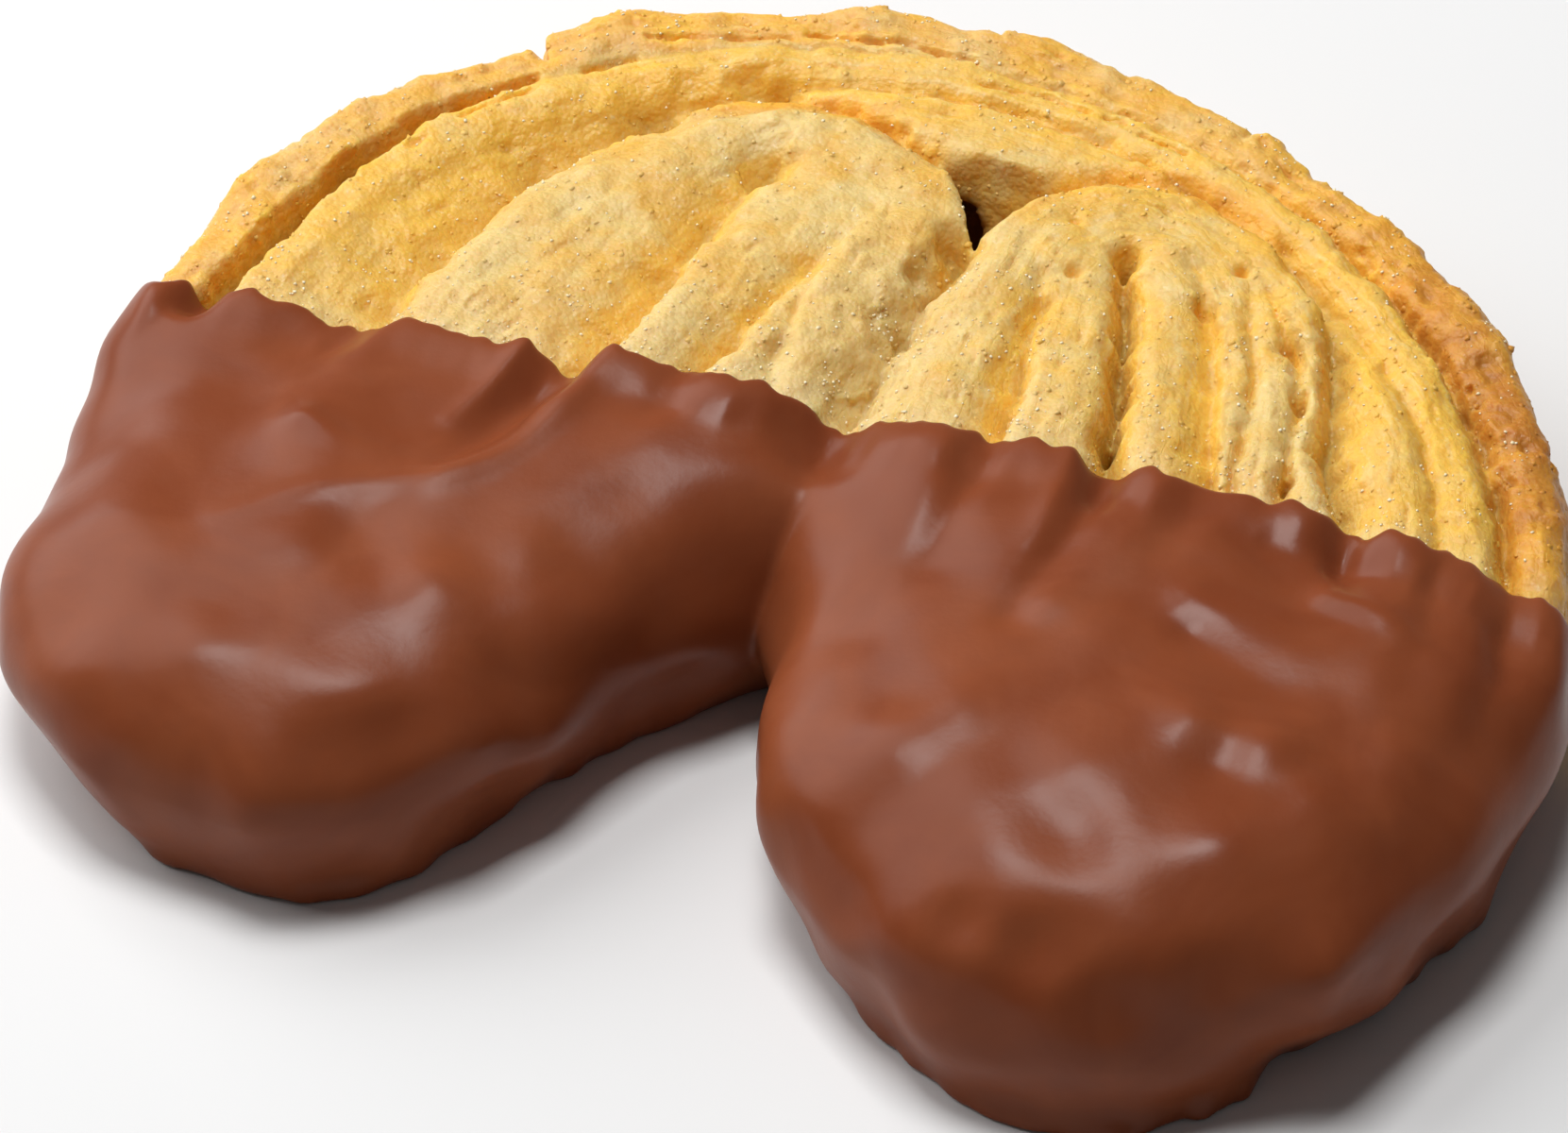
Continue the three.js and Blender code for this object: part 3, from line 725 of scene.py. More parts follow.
def coated_lobes(maps, rim_inset, past_edge):
    """Field of the two coated lobes and of the coat round the rim's ends, going on behind the dip's edge."""
    bare = maps["height"] - maps["crease"]
    lobes = soft_join(*(lobe_shape(lobe, top) for lobe, top in zip(LOBES, coat_top(bare))), LOBE_JOIN)
    over_plies = AXIS_Z - (soften(bare, 0.9) + COAT)[:, :, None]
    over_rim = round_meet(over_plies, wall_field(rim_inset + COAT_BEYOND_RIM), RIM_COAT_ROUND)
    over_rim = round_meet(over_rim, -RIM_COAT_REACH - past_edge, RIM_COAT_FADE)
    lobes = soft_join(lobes, over_rim, RIM_COAT_JOIN)
    lobes -= foot_lips()[:, :, None] * np.clip(1 - AXIS_Z / FOOT_LIP_HEIGHT, 0, 1) ** 2
    drips = FOOT_DRIPS * np.maximum(swells(3.2, 54) + 0.1, 0)
    lobes -= drips[:, :, None] * np.clip(1 - AXIS_Z / FOOT_DRIP_HEIGHT, 0, 1)
    axes = (AXIS_X, AXIS_Y, AXIS_Z)
    on_wall = 1 - ease(11, 17, AXIS_Z)
    lobes += (0.22 + 0.22 * on_wall) * lumps(axes, 6.5, 64) + (0.19 + 0.07 * on_wall) * lumps(axes, 3.4, 65)
    for x, y, z, depth, radius in COAT_DENTS:
        aside = ((PLAN_X - x) ** 2 + (PLAN_Y - y) ** 2)[:, :, None]
        lobes += depth * np.exp(-(aside + (AXIS_Z - z) ** 2) / radius ** 2)
    return lobes


def past_dip_edge(edge):
    """How far behind the edge of the dip each place lies. The edge runs unevenly down the rim's wall."""
    runs = 0.7 * waver(*np.meshgrid(AXIS_X / 16, AXIS_Z / 4.2, indexing="ij"), 74)
    runs += 0.3 * waver(*np.meshgrid(AXIS_X / 5, AXIS_Z / 1.7, indexing="ij"), 75)
    on_wall = 1 - ease(13, 16, AXIS_Z)
    return (PLAN_Y - edge)[:, :, None] + (runs * on_wall)[:, None, :]


def build_fields():
    """Signed fields of the pastry and of the coat, and the plan maps that colour the pastry."""
    maps = pastry_maps()
    rim_inset = maps["inset"] + rim_reach()
    past_edge = past_dip_edge(maps["edge"])
    pit = pit_distance()
    maps["pit"] = pit[:, :, np.searchsorted(AXIS_Z, PIT_BRIM)]
    pastry = np.maximum(pastry_shape(maps, rim_inset, pit), -PASTRY_GOES_ON - past_edge)
    lobes = coated_lobes(maps, rim_inset, past_edge)
    core = np.maximum(lobes + CORE_INSET, past_edge + COVERED)
    core = np.maximum(core, CORE_INSET - AXIS_Z)
    hidden = lobes + COVERED - COVER_SLOPE * np.clip(past_edge + COVERED, 0, None)
    pastry = np.minimum(np.maximum(pastry, hidden), core)
    coat = round_meet(lobes, past_edge, LIP_ROUND)
    coat = round_meet(coat, COAT_CLEARANCE - AXIS_Z, COAT_FOOT_ROUND)
    coat = np.maximum(coat, -(pastry + COAT_OVERLAP))
    return pastry, coat, maps


# Meshes

def largest_shell(points, quads):
    """Only the faces of the shell with the most points."""
    label = np.arange(len(points))
    ends = np.concatenate([quads[:, [0, 1]], quads[:, [1, 2]], quads[:, [2, 3]]])
    while True:
        low = np.minimum(label[ends[:, 0]], label[ends[:, 1]])
        before = label.copy()
        np.minimum.at(label, ends[:, 0], low)
        np.minimum.at(label, ends[:, 1], low)
        label = label[label]
        if np.array_equal(label, before):
            break
    names, counts = np.unique(label, return_counts=True)
    keep = label == names[np.argmax(counts)]
    renumber = np.cumsum(keep) - 1
    return points[keep], renumber[quads[keep[quads[:, 0]]]]


def in_part_frame(points):
    """Points in the part's frame, in metres."""
    return ((points + SEAM) * MM).astype(np.float32)


def mesh_object(name, points, faces):
    """An object from points in metres and faces that all have as many corners."""
    mesh = bpy.data.meshes.new(name)
    corners = faces.shape[1]
    mesh.vertices.add(len(points))
    mesh.vertices.foreach_set("co", np.ascontiguousarray(points, np.float32).ravel())
    mesh.loops.add(faces.size)
    mesh.loops.foreach_set("vertex_index", faces.astype(np.int32).ravel())
    mesh.polygons.add(len(faces))
    mesh.polygons.foreach_set("loop_start", np.arange(0, faces.size, corners, dtype=np.int32))
    mesh.polygons.foreach_set("loop_total", np.full(len(faces), corners, np.int32))
    mesh.update(calc_edges=True)
    mesh.validate()
    obj = bpy.data.objects.new(name, mesh)
    bpy.context.scene.collection.objects.link(obj)
    return obj


def skin(name, field, triangles, evening):
    """The closed skin of a field as an object, thinned to some triangles, evened out and shaded smooth."""
    grid = openvdb.FloatGrid(background=1.0)
    grid.copyFromArray(np.ascontiguousarray(np.clip(field, -1, 1), dtype=np.float32))
    points, _, quads = grid.convertToPolygons(0.0, 0.0)
    points, quads = largest_shell(points, quads)
    origin = np.array([AXIS_X[0], AXIS_Y[0], AXIS_Z[0]])
    obj = mesh_object(name, in_part_frame(origin + points * STEP), quads)
    thin = obj.modifiers.new("thin", "DECIMATE")
    thin.ratio = min(1.0, triangles / (2 * len(quads)))
    even = obj.modifiers.new("even", "SMOOTH")
    even.iterations = evening
    evaluated = obj.evaluated_get(bpy.context.evaluated_depsgraph_get())
    thinned = bpy.data.meshes.new_from_object(evaluated)
    obj.modifiers.clear()
    obj.data = thinned
    thinned.shade_smooth()
    return obj


def points_of(obj):
    """An object's points, in the script's millimetres."""
    points = np.zeros(len(obj.data.vertices) * 3, np.float32)
    obj.data.vertices.foreach_get("co", points)
    return points.reshape(-1, 3) / MM - SEAM


def normals_of(obj):
    """The normals at an object's points."""
    normals = np.zeros(len(obj.data.vertices) * 3, np.float32)
    obj.data.vertices.foreach_get("normal", normals)
    return normals.reshape(-1, 3)


def read_map(plan_map, points):
    """Values of a plan map at some points."""
    u = np.clip((points[:, 0] - AXIS_X[0]) / STEP, 0, len(AXIS_X) - 2)
    v = np.clip((points[:, 1] - AXIS_Y[0]) / STEP, 0, len(AXIS_Y) - 2)
    i = u.astype(int)
    j = v.astype(int)
    fu = u - i
    fv = v - j
    return (plan_map[i, j] * (1 - fu) * (1 - fv) + plan_map[i + 1, j] * fu * (1 - fv)
            + plan_map[i, j + 1] * (1 - fu) * fv + plan_map[i + 1, j + 1] * fu * fv)


def read_nearest(plan_map, points):
    """Values of a plan map at the grid places nearest some points."""
    i = np.clip(np.rint((points[:, 0] - AXIS_X[0]) / STEP).astype(int), 0, len(AXIS_X) - 1)
    j = np.clip(np.rint((points[:, 1] - AXIS_Y[0]) / STEP).astype(int), 0, len(AXIS_Y) - 1)
    return plan_map[i, j]


def set_values(obj, name, values):
    """Keeps a value for each point of an object, which its material reads by name."""
    attribute = obj.data.attributes.new(name, "FLOAT", "POINT")
    attribute.data.foreach_set("value", np.asarray(values, np.float32))


def fold_tips(points):
    """How far each point lies on the browned outer shoulder of a fold's tip, from 0 to 1."""
    tips = np.zeros(len(points))
    for ply, outer_side in ((FOLD_PLIES[0], 1), (FOLD_PLIES[2], -1)):
        gap, _, share = beside(spline(ply["path"], 60), points[:, 0], points[:, 1])
        near_tip = hump(share, 1, TIP_SHARE, TIP_SPREAD)
        outside = gap * outer_side
        tips = np.maximum(tips, near_tip * ease(0.8, 2.6, outside) * (1 - ease(4.6, 5.8, outside)))
    return tips


def pastry_tones(pastry, maps):
    """How browned, golden, pale and flaky each point of the pastry is; shade is painted in its creases and
    hole.
    """
    points = points_of(pastry)
    normals = normals_of(pastry)
    inset = read_map(maps["inset"], points)
    depth = read_map(maps["crease"], points)
    seam_gap, _, _ = beside(np.array(SEAM_LINE), points[:, 0], points[:, 1])
    by_seam = hump(seam_gap, 1, 0, SEAM_SPREAD) * ease(0, 6, SEAM_BACK - points[:, 1])
    # Less shade is painted in the creases along the seam, so their depth counts for less there.
    depth = depth * (1 - 0.9 * by_seam)
    behind_edge = points[:, 1] - read_map(maps["edge"], points)
    rim = 1 - ease(*RIM_TONE, inset)
    right = ease(*RIGHT_TONE, points[:, 0])
    under = ease(0.3, 0.8, -normals[:, 2])
    side = 1 - ease(0.25, 0.75, np.abs(normals[:, 2]))
    outer_wall = side * (1 - ease(*OUTER_WALL_TONE, inset))
    near_pit = 1 - ease(*PIT_TONE, read_map(maps["pit"], points))
    rim_tone = 0.58 + 0.42 * right * ease(4, 20, points[:, 1])
    browned = np.clip(rim_tone * rim + 0.7 * fold_tips(points), 0, 1)
    scorched = 0.75 + 0.25 * (1 - ease(1, 6, points[:, 2]))
    browned = np.maximum(browned, np.maximum(scorched * outer_wall, 0.8 * under))
    band = (1 - ease(*BAND_TONE, inset)) * (1 - rim)
    # Painted shade: the creases' flanks are laid golden by their depth, added to the band's and right side's
    # real golden crust.
    crease_shade_share = np.clip((depth - 0.2) / 1.3, 0, 1)
    golden = 0.68 * band + 0.2 * right * (1 - ease(12, 17, inset)) + 0.8 * crease_shade_share
    golden += 0.4 * ease(0, 5, points[:, 0]) * (1 - ease(24, 28, points[:, 0])) * (1 - band)
    golden = np.maximum(golden, 0.45 * near_pit)
    pale = np.exp(-np.maximum(behind_edge, 0) / 4) * (1 - rim) * (1 - under)
    golden *= 1 - 0.5 * pale
    pale = np.maximum(pale, 0.45 * by_seam)
    pale *= (1 - near_pit) * np.clip(1 - depth / 3, 0, 1)
    # Painted shade in the burrow and low in the gap at the arch's foot, where the folds keep the light out.
    beside_burrow = (points - BURROW) / (BURROW_RADII + BURROW_MARGIN)
    painted_hole_shade = 1 - ease(0.8, 1.2, np.linalg.norm(beside_burrow, axis=1))
    painted_hole_shade = np.maximum(painted_hole_shade, near_pit * (1 - ease(7, 9.5, points[:, 2])))
    # Painted shade: a darker tone deep in the creases, but not on the underside or the outer wall.
    painted_crease_shade = np.clip(depth / 4.0, 0, 1) * (1 - under) * (1 - outer_wall)
    return {
        "browned": browned, "golden": np.clip(golden, 0, 1), "pale": pale, "painted_crease_shade": painted_crease_shade, "painted_hole_shade": painted_hole_shade,
        "flaky": read_map(crispness(), points) * (1 - under),
        "across": read_nearest(maps["across"], points), "along": read_nearest(maps["along"], points),
    }


# Loose grains

def unit_shape(kind):
    """Points and faces of a small lump with a radius of about one."""
    blank = bmesh.new()
    if kind == "crumb":
        bmesh.ops.create_icosphere(blank, subdivisions=1, radius=1.0)
    else:
        bmesh.ops.create_cube(blank, size=1.5)
        bmesh.ops.triangulate(blank, faces=blank.faces)
    points = np.array([vertex.co for vertex in blank.verts])
    faces = np.array([[vertex.index for vertex in face.verts] for face in blank.faces])
    blank.free()
    return points, faces


def strew(name, base, chance, kind, count, sizes, rise, seed):
    """Uneven grains over a base as one mesh, and the base's point that each of its points lies on.

    The chance is given for each point of the base, and rise is how far a grain's middle stands off it."""
    draw = np.random.default_rng(seed)
    base.data.calc_loop_triangles()
    corners = np.zeros(len(base.data.loop_triangles) * 3, np.int32)
    base.data.loop_triangles.foreach_get("vertices", corners)
    corners = corners.reshape(-1, 3)
    points = points_of(base)
    a, b, c = (points[corners[:, k]] for k in range(3))
    weight = np.linalg.norm(np.cross(b - a, c - a), axis=1) * chance[corners].mean(axis=1)
    pick = draw.choice(len(corners), count, p=weight / weight.sum())
    u, v = draw.random((2, count, 1))
    u, v = np.where(u + v > 1, 1 - u, u), np.where(u + v > 1, 1 - v, v)
    middle = a[pick] + u * (b - a)[pick] + v * (c - a)[pick]
    radius = 0.5 * sizes[0] * (sizes[1] / sizes[0]) ** draw.random((count, 1))
    middle = middle + normals_of(base)[corners[pick, 0]] * rise * radius
    shape, faces = unit_shape(kind)
    lump = shape * draw.uniform(0.7, 1.3, (count, 1, 3)) * draw.uniform(0.8, 1.2, (count, len(shape), 1))
    w, x, y, z = draw.standard_normal((4, count))
    size = np.sqrt(w * w + x * x + y * y + z * z)
    w, x, y, z = w / size, x / size, y / size, z / size
    turn = np.array([[1 - 2 * (y * y + z * z), 2 * (x * y - w * z), 2 * (x * z + w * y)],
                     [2 * (x * y + w * z), 1 - 2 * (x * x + z * z), 2 * (y * z - w * x)],
                     [2 * (x * z - w * y), 2 * (y * z + w * x), 1 - 2 * (x * x + y * y)]])
    lump = np.einsum("ijk,kpj->kpi", turn, lump) * radius[:, None] + middle[:, None]
    faces = faces + np.arange(count)[:, None, None] * len(shape)
    grains = mesh_object(name, in_part_frame(lump.reshape(-1, 3)), faces.reshape(-1, 3))
    if kind == "crumb":
        grains.data.shade_smooth()
    return grains, np.repeat(corners[pick, 0], len(shape))


def grain_chances(pastry, maps, tones):
    """Chances of crumbs and of sugar at each point of the pastry: only on what shows from above or beside."""
    points = points_of(pastry)
    normals = normals_of(pastry)
    behind_edge = points[:, 1] - read_map(maps["edge"], points)
    shows = ease(0.3, 0.8, behind_edge) * ease(-0.3, 0.2, normals[:, 2]) * (1 - tones["painted_hole_shade"])
    clumps = 0.5 + 0.5 * np.clip(waver(points[:, 0] / 4, points[:, 1] / 4, 81) + 0.3, 0, 1)
    crumbs = shows * clumps * (0.5 + 0.3 * tones["browned"] + 0.7 * tones["pale"])
    sugar = shows * clumps ** 4 * (0.3 + 1.6 * tones["pale"]) * ease(0.2, 0.8, normals[:, 2])
    return crumbs, sugar


# Materials

class Nodes:
    """Builds one node tree, a node at a time."""

    def __init__(self, tree):
        self.tree = tree

    def add(self, kind, links=None, **settings):
        """A node with its settings, and with links or plain values at its sockets."""
        node = self.tree.nodes.new(kind)
        for key, value in settings.items():
            setattr(node, key, value)
        for socket, source in (links or {}).items():
            if isinstance(source, bpy.types.NodeSocket):
                self.tree.links.new(source, node.inputs[socket])
            else:
                node.inputs[socket].default_value = source
        return node

    def noise(self, position, scale, detail=3.0, roughness=0.55, distortion=0.0):
        """Soft noise from 0 to 1."""
        node = self.add("ShaderNodeTexNoise", {"Vector": position, "Scale": scale, "Detail": detail,
                                               "Roughness": roughness, "Distortion": distortion})
        return node.outputs["Fac"]

    def cells(self, position, scale):
        """Distance from the nearest of many scattered places, which makes round grains."""
        node = self.add("ShaderNodeTexVoronoi", {"Vector": position, "Scale": scale}, feature="F1")
        return node.outputs["Distance"]

    def ramp(self, value, *stops):
        """A colour that runs through stops, each a place on the scale and a colour."""
        node = self.add("ShaderNodeValToRGB", {"Fac": value})
        elements = node.color_ramp.elements
        while len(elements) < len(stops):
            elements.new(0.5)
        for element, (position, colour) in zip(elements, stops):
            element.position = position
            element.color = (*colour, 1)
        return node.outputs["Color"]

    def range(self, value, low, high, to_low=0.0, to_high=1.0):
        """A value brought smoothly from one range to another."""
        ends = {"Value": value, "From Min": low, "From Max": high, "To Min": to_low, "To Max": to_high}
        node = self.add("ShaderNodeMapRange", ends, interpolation_type="SMOOTHSTEP")
        return node.outputs["Result"]

    def math(self, operation, a, b=0.0):
        """A sum, difference or product of two values."""
        node = self.add("ShaderNodeMath", {0: a, 1: b}, operation=operation)
        return node.outputs[0]

    def mix(self, share, a, b):
        """Two colours mixed by a share of the second."""
        node = self.add("ShaderNodeMix", {"Factor": share}, data_type="RGBA")
        for socket, source in ((6, a), (7, b)):
            if isinstance(source, bpy.types.NodeSocket):
                self.tree.links.new(source, node.inputs[socket])
            else:
                node.inputs[socket].default_value = (*source, 1)
        return node.outputs[2]

    def attribute(self, name):
        """The value of that name which each point of the mesh keeps."""
        return self.add("ShaderNodeAttribute", attribute_name=name).outputs["Fac"]


# The tones read from the mesh; the one for creases is painted shade.
DOUGH_TONES = ("Browned", "Golden", "Pale", "Painted_crease_shade", "Flaky")


def baked_dough_group():
    """Colour and fine relief of baked dough: pale crumb, golden crust, dark specks and painted shade in
    creases.
    """
    tree = bpy.data.node_groups.new("baked dough", "ShaderNodeTree")
    for name in DOUGH_TONES:
        tree.interface.new_socket(name, in_out="INPUT", socket_type="NodeSocketFloat")
    tree.interface.new_socket("Layers", in_out="INPUT", socket_type="NodeSocketVector")
    tree.interface.new_socket("Colour", in_out="OUTPUT", socket_type="NodeSocketColor")
    for name in ("Roughness", "Relief"):
        tree.interface.new_socket(name, in_out="OUTPUT", socket_type="NodeSocketFloat")
    n = Nodes(tree)
    given = n.add("NodeGroupInput")
    out = n.add("NodeGroupOutput")
    position = n.add("ShaderNodeNewGeometry").outputs["Position"]
    blotch = n.noise(position, 150, 2)
    patch = n.noise(position, 480, 3)
    grain = n.noise(position, 1900, 4, 0.65)
    fine = n.noise(position, 5200, 2, 0.6)
    layers = n.noise(given.outputs["Layers"], 1.7, 3)
    flaky = given.outputs["Flaky"]
    warm = n.math("ADD", n.math("MULTIPLY", blotch, 0.6), n.math("MULTIPLY", patch, 0.4))
    crumb = n.ramp(warm, *CRUMB_TONES)
    fresh = n.math("MULTIPLY", given.outputs["Pale"], n.range(patch, 0.3, 0.6))
    crumb = n.mix(fresh, crumb, FRESH_CRUMB)
    uneven = n.math("ADD", n.math("MULTIPLY", patch, 0.5), n.math("MULTIPLY", n.noise(position, 240, 2), 0.6))
    gilded = n.math("ADD", given.outputs["Golden"], n.math("SUBTRACT", uneven, 0.55))
    colour = n.mix(n.range(gilded, 0.1, 1.0), crumb, GILDED)
    between_layers = n.math("MULTIPLY", n.range(layers, 0.52, 0.66), flaky)
    colour = n.mix(n.math("MULTIPLY", between_layers, 0.35), colour, BETWEEN_LAYERS)
    on_layers = n.math("MULTIPLY", n.range(layers, 0.46, 0.34), flaky)
    colour = n.mix(n.math("MULTIPLY", on_layers, 0.35), colour, ON_LAYERS)
    browned = given.outputs["Browned"]
    crust = n.mix(n.range(browned, 0.7, 1.0), n.ramp(warm, *CRUST_TONES), n.ramp(warm, *TOASTED_TONES))
    lifted = n.math("ADD", browned, n.math("MULTIPLY", n.math("SUBTRACT", blotch, 0.5), 0.7))
    colour = n.mix(n.range(lifted, 0.2, 0.9), colour, crust)
    # Painted shade: a darker tone laid into the creases by their depth.
    crease_shade_share = n.math("MULTIPLY", n.range(given.outputs["Painted_crease_shade"], 0.2, 1.0), 0.8)
    colour = n.mix(crease_shade_share, colour, CREASE_SHADE_COLOUR)
    speck = n.range(n.noise(position, 1500, 1, 0.5), 0.82, 0.84)
    colour = n.mix(n.math("MULTIPLY", speck, 0.75), colour, DARK_SPECK)
    bright = n.math("MULTIPLY", n.range(grain, 0.58, 0.72), n.range(browned, 0.0, 1.0, 0.5, 0.1))
    colour = n.mix(bright, colour, BRIGHT_GRAIN)
    colour = n.mix(n.math("MULTIPLY", n.range(grain, 0.42, 0.3), 0.25), colour, DARK_GRAIN)
    rough = n.math("ADD", n.math("MULTIPLY", grain, 0.2), n.math("MULTIPLY", fine, 0.1))
    rough = n.math("SUBTRACT", rough, n.math("MULTIPLY", n.cells(position, 2500), 0.36))
    rough = n.math("SUBTRACT", rough, n.math("MULTIPLY", n.cells(position, 1150), 0.5))
    rough = n.math("MULTIPLY", rough, n.range(flaky, 0.0, 1.0, 1.0, 0.75))
    relief = n.math("SUBTRACT", rough, n.math("MULTIPLY", between_layers, 0.15))
    n.tree.links.new(colour, out.inputs["Colour"])
    n.tree.links.new(n.range(grain, 0.3, 0.7, 0.6, 0.34), out.inputs["Roughness"])
    n.tree.links.new(relief, out.inputs["Relief"])
    return tree


def new_material(name):
    """A material with one Principled shader: the material, its nodes and that shader."""
    material = bpy.data.materials.new(name)
    material.use_nodes = True
    tree = material.node_tree
    tree.nodes.clear()
    n = Nodes(tree)
    shader = n.add("ShaderNodeBsdfPrincipled")
    out = n.add("ShaderNodeOutputMaterial", {"Surface": shader.outputs["BSDF"]})
    out.is_active_output = True
    return material, n, shader


def bump(n, shader, height, strength, distance):
    """Fine relief in a material, from a height that changes over it."""
    node = n.add("ShaderNodeBump", {"Height": height, "Strength": strength, "Distance": distance})
    n.tree.links.new(node.outputs["Normal"], shader.inputs["Normal"])


def pastry_material(name, dough, glow_share):
    """Baked dough in its tones with painted shade in its hole, and with light sinking into it by a share."""
    material, n, shader = new_material(name)
    tones = n.add("ShaderNodeGroup", node_tree=dough)
    for socket in DOUGH_TONES:
        n.tree.links.new(n.attribute(socket.lower()), tones.inputs[socket])
    along = n.math("MULTIPLY", n.attribute("along"), LAYER_STRETCH)
    layers = n.add("ShaderNodeCombineXYZ", {"X": n.attribute("across"), "Y": along})
    n.tree.links.new(layers.outputs["Vector"], tones.inputs["Layers"])
    # Painted shade in the hole at the arch's foot and in the burrow.
    colour = n.mix(n.attribute("painted_hole_shade"), tones.outputs["Colour"], HOLE_SHADE_COLOUR)
    n.tree.links.new(colour, shader.inputs["Base Color"])
    n.tree.links.new(tones.outputs["Roughness"], shader.inputs["Roughness"])
    bump(n, shader, tones.outputs["Relief"], 0.6, 0.0004)
    shader.inputs["Specular IOR Level"].default_value = 0.35
    shader.inputs["Subsurface Weight"].default_value = glow_share
    shader.inputs["Subsurface Radius"].default_value = DOUGH_GLOW
    shader.inputs["Subsurface Scale"].default_value = 1.0
    return material


def sugar_material():
    """Cloudy sugar with a glassy sheen."""
    material, n, shader = new_material("sugar crystals")
    position = n.add("ShaderNodeNewGeometry").outputs["Position"]
    cloudy = n.noise(position, 900, 3)
    n.tree.links.new(n.ramp(cloudy, *SUGAR_TONES), shader.inputs["Base Color"])
    n.tree.links.new(n.range(cloudy, 0.3, 0.7, 0.08, 0.3), shader.inputs["Roughness"])
    bump(n, shader, n.noise(position, 4000, 2), 0.2, 0.0001)
    shader.inputs["Specular IOR Level"].default_value = 0.6
    return material


def chocolate_material():
    """Set milk chocolate with a satin sheen, faintly swirled and mottled."""
    material, n, shader = new_material("milk chocolate")
    position = n.add("ShaderNodeNewGeometry").outputs["Position"]
    swirl = n.noise(position, 75, 3, 0.5, 1.2)
    mottle = n.noise(position, 420, 3)
    tone = n.ramp(swirl, *CHOCOLATE_TONES)
    tone = n.mix(n.math("MULTIPLY", n.range(mottle, 0.4, 0.7), 0.3), tone, CHOCOLATE_MOTTLE)
    n.tree.links.new(tone, shader.inputs["Base Color"])
    n.tree.links.new(n.range(swirl, 0.3, 0.7, 0.28, 0.37), shader.inputs["Roughness"])
    fine = n.math("ADD", n.math("MULTIPLY", n.noise(position, 2600, 2), 0.25), n.noise(position, 500, 2))
    bump(n, shader, fine, 0.06, 0.0004)
    shader.inputs["Specular IOR Level"].default_value = 0.16
    shader.inputs["Subsurface Weight"].default_value = CHOCOLATE_GLOW_SHARE
    shader.inputs["Subsurface Radius"].default_value = CHOCOLATE_GLOW
    shader.inputs["Subsurface Scale"].default_value = 1.0
    return material


# Stage

def floor_material():
    """Matt white, hardly uneven."""
    material, n, shader = new_material("pale table")
    position = n.add("ShaderNodeNewGeometry").outputs["Position"]
    shade = n.ramp(n.noise(position, 6, 2), *TABLE_TONES)
    n.tree.links.new(shade, shader.inputs["Base Color"])
    shader.inputs["Roughness"].default_value = 0.6
    shader.inputs["Specular IOR Level"].default_value = 0.2
    return material


FLOOR_HALF = 1.5


def make_floor():
    """A plain pale table top."""
    corners = np.array([(-1, -1, 0), (1, -1, 0), (1, 1, 0), (-1, 1, 0)], np.float32) * FLOOR_HALF
    floor = mesh_object("floor", corners, np.array([[0, 1, 2, 3]]))
    floor.data.materials.append(floor_material())


# The photograph's view: 14.5 pixels to a millimetre at the seam's front end, which lies at the target pixel.
VIEW_AZIMUTH = math.radians(20.5)
VIEW_ELEVATION = math.radians(42.6)
VIEW_DISTANCE = 0.6
PHOTO_WIDTH, PHOTO_HEIGHT = 1661, 1200
PIXELS_PER_MM = 14.5
TARGET_PIXEL = (890, 488)
TARGET_HEIGHT = 20
TARGET = Vector((SEAM[0] * MM, SEAM[1] * MM, TARGET_HEIGHT * MM))
SENSOR = 36.0


def make_camera():
    """A camera at the photograph's angle, moved aside so that its frame is the photograph's."""
    sin_a, cos_a = math.sin(VIEW_AZIMUTH), math.cos(VIEW_AZIMUTH)
    sin_e, cos_e = math.sin(VIEW_ELEVATION), math.cos(VIEW_ELEVATION)
    back = Vector((sin_a * cos_e, -cos_a * cos_e, sin_e))
    right = Vector((cos_a, sin_a, 0))
    up = back.cross(right)
    data = bpy.data.cameras.new("camera")
    data.sensor_width = SENSOR
    data.lens = SENSOR * PIXELS_PER_MM * VIEW_DISTANCE / MM / PHOTO_WIDTH
    data.clip_start = 0.01
    camera = bpy.data.objects.new("camera", data)
    aside = (TARGET_PIXEL[0] - PHOTO_WIDTH / 2) / PIXELS_PER_MM * MM
    above = (PHOTO_HEIGHT / 2 - TARGET_PIXEL[1]) / PIXELS_PER_MM * MM
    camera.location = TARGET + back * VIEW_DISTANCE - right * aside - up * above
    camera.rotation_mode = "QUATERNION"
    camera.rotation_quaternion = (-back).to_track_quat("-Z", "Y")
    bpy.context.scene.collection.objects.link(camera)
    bpy.context.scene.camera = camera


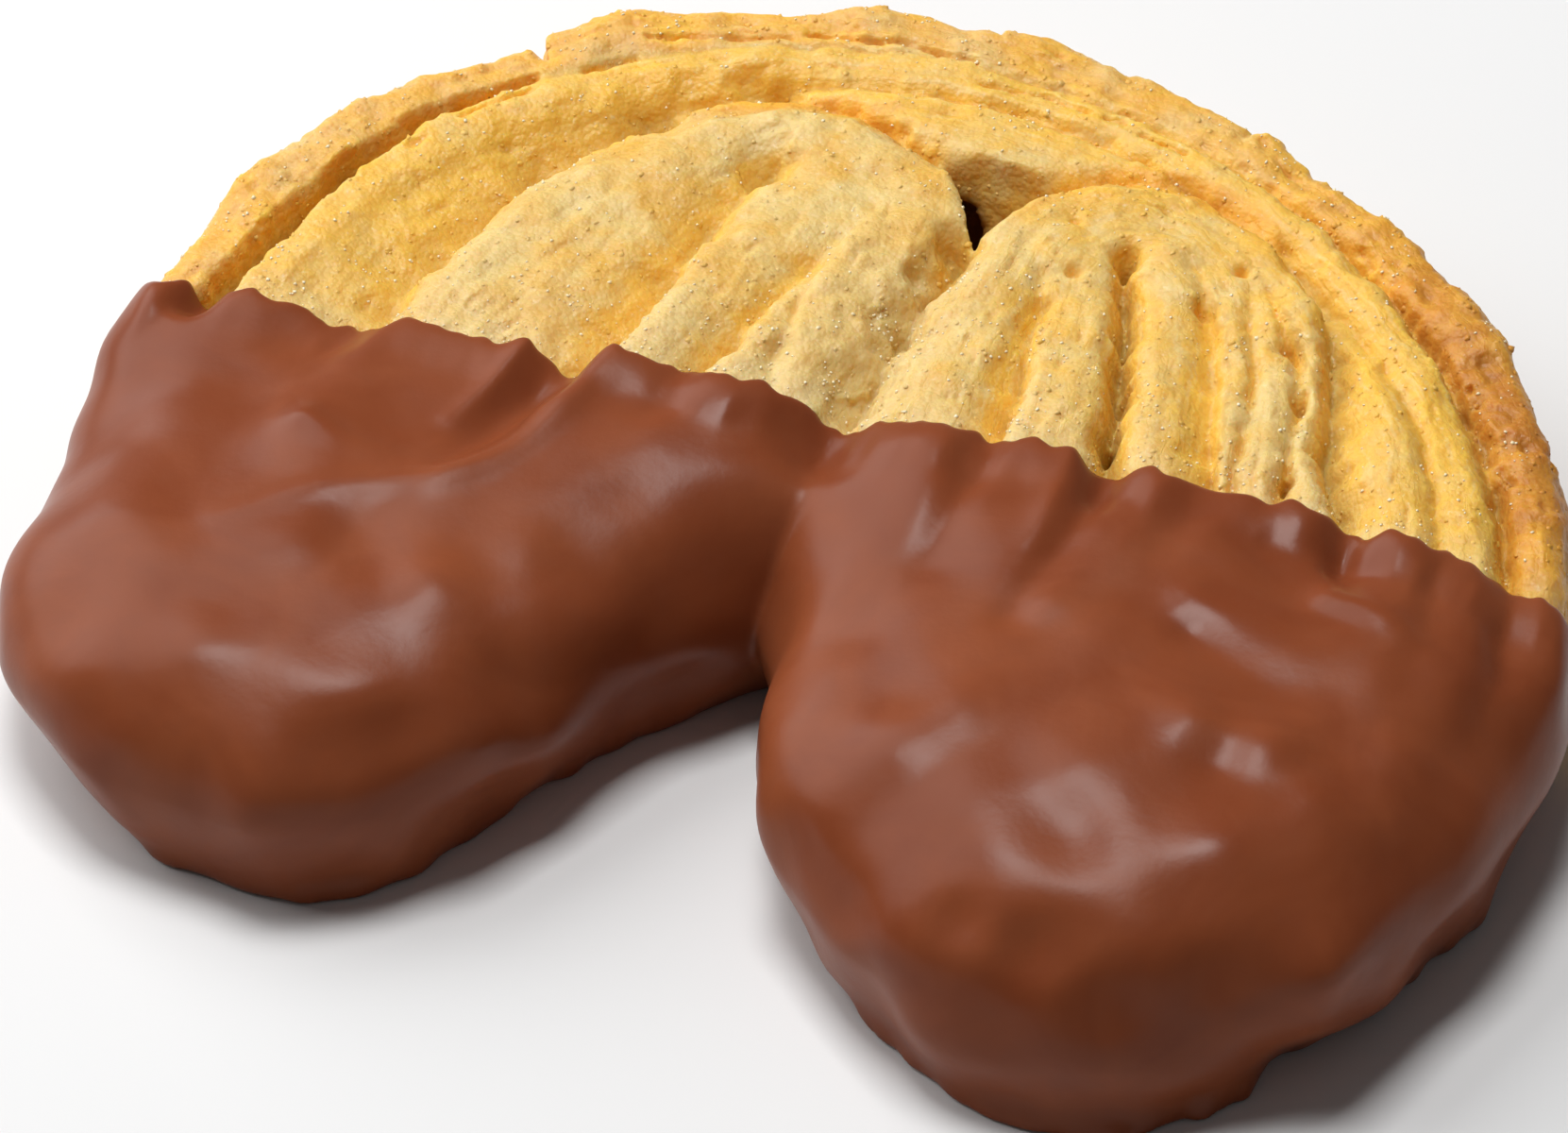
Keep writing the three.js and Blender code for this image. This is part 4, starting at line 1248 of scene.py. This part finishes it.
def soft_light(name, location, size, power):
    """A soft rectangular light that faces the biscuit."""
    data = bpy.data.lights.new(name, "AREA")
    data.shape = "RECTANGLE"
    data.size, data.size_y = size
    data.energy = power
    light = bpy.data.objects.new(name, data)
    light.location = location
    light.rotation_mode = "QUATERNION"
    light.rotation_quaternion = (-Vector(location)).to_track_quat("-Z", "Y")
    bpy.context.scene.collection.objects.link(light)


def make_lights():
    """A softbox overhead, a larger one on the left, and a little light from all round."""
    soft_light("overhead_softbox", location=(-0.10, 0.06, 0.70), size=(0.27, 0.22), power=3.4)
    soft_light("left_softbox", location=(-0.62, 0.16, 0.50), size=(0.8, 0.8), power=6.2)
    world = bpy.data.worlds.new("studio")
    world.use_nodes = True
    background = world.node_tree.nodes["Background"]
    background.inputs["Color"].default_value = (1, 1, 1, 1)
    background.inputs["Strength"].default_value = 0.09
    bpy.context.scene.world = world
    bpy.context.scene.view_settings.view_transform = "Standard"
    bpy.context.scene.view_settings.look = "None"


def main():
    """Builds the stage and the pieces, and rides the pieces on the part."""
    make_camera()
    make_lights()
    make_floor()
    pastry_field, coat_field, maps = build_fields()
    pastry = skin("rolled_pastry", pastry_field, PASTRY_TRIANGLES, PASTRY_EVENING)
    coat = skin("chocolate_coat", coat_field, COAT_TRIANGLES, COAT_EVENING)
    tones = pastry_tones(pastry, maps)
    crumb_chance, sugar_chance = grain_chances(pastry, maps, tones)
    crumbs, crumb_place = strew("loose_crumbs", pastry, crumb_chance, **CRUMBS)
    sugar, _ = strew("sugar_grains", pastry, sugar_chance, **SUGAR)
    for name, values in tones.items():
        set_values(pastry, name, values)
        set_values(crumbs, name, values[crumb_place])
    dough = baked_dough_group()
    for piece, material, slot in (
        (pastry, pastry_material("flaky pastry", dough, DOUGH_GLOW_SHARE), "pastry"),
        (crumbs, pastry_material("pastry crumbs", dough, 0.0), "pastry"),
        (sugar, sugar_material(), "pastry"),
        (coat, chocolate_material(), "chocolate"),
    ):
        piece.data.materials.append(material)
        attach(piece, "root")
    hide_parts("pastry")
    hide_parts("chocolate_dip")


main()
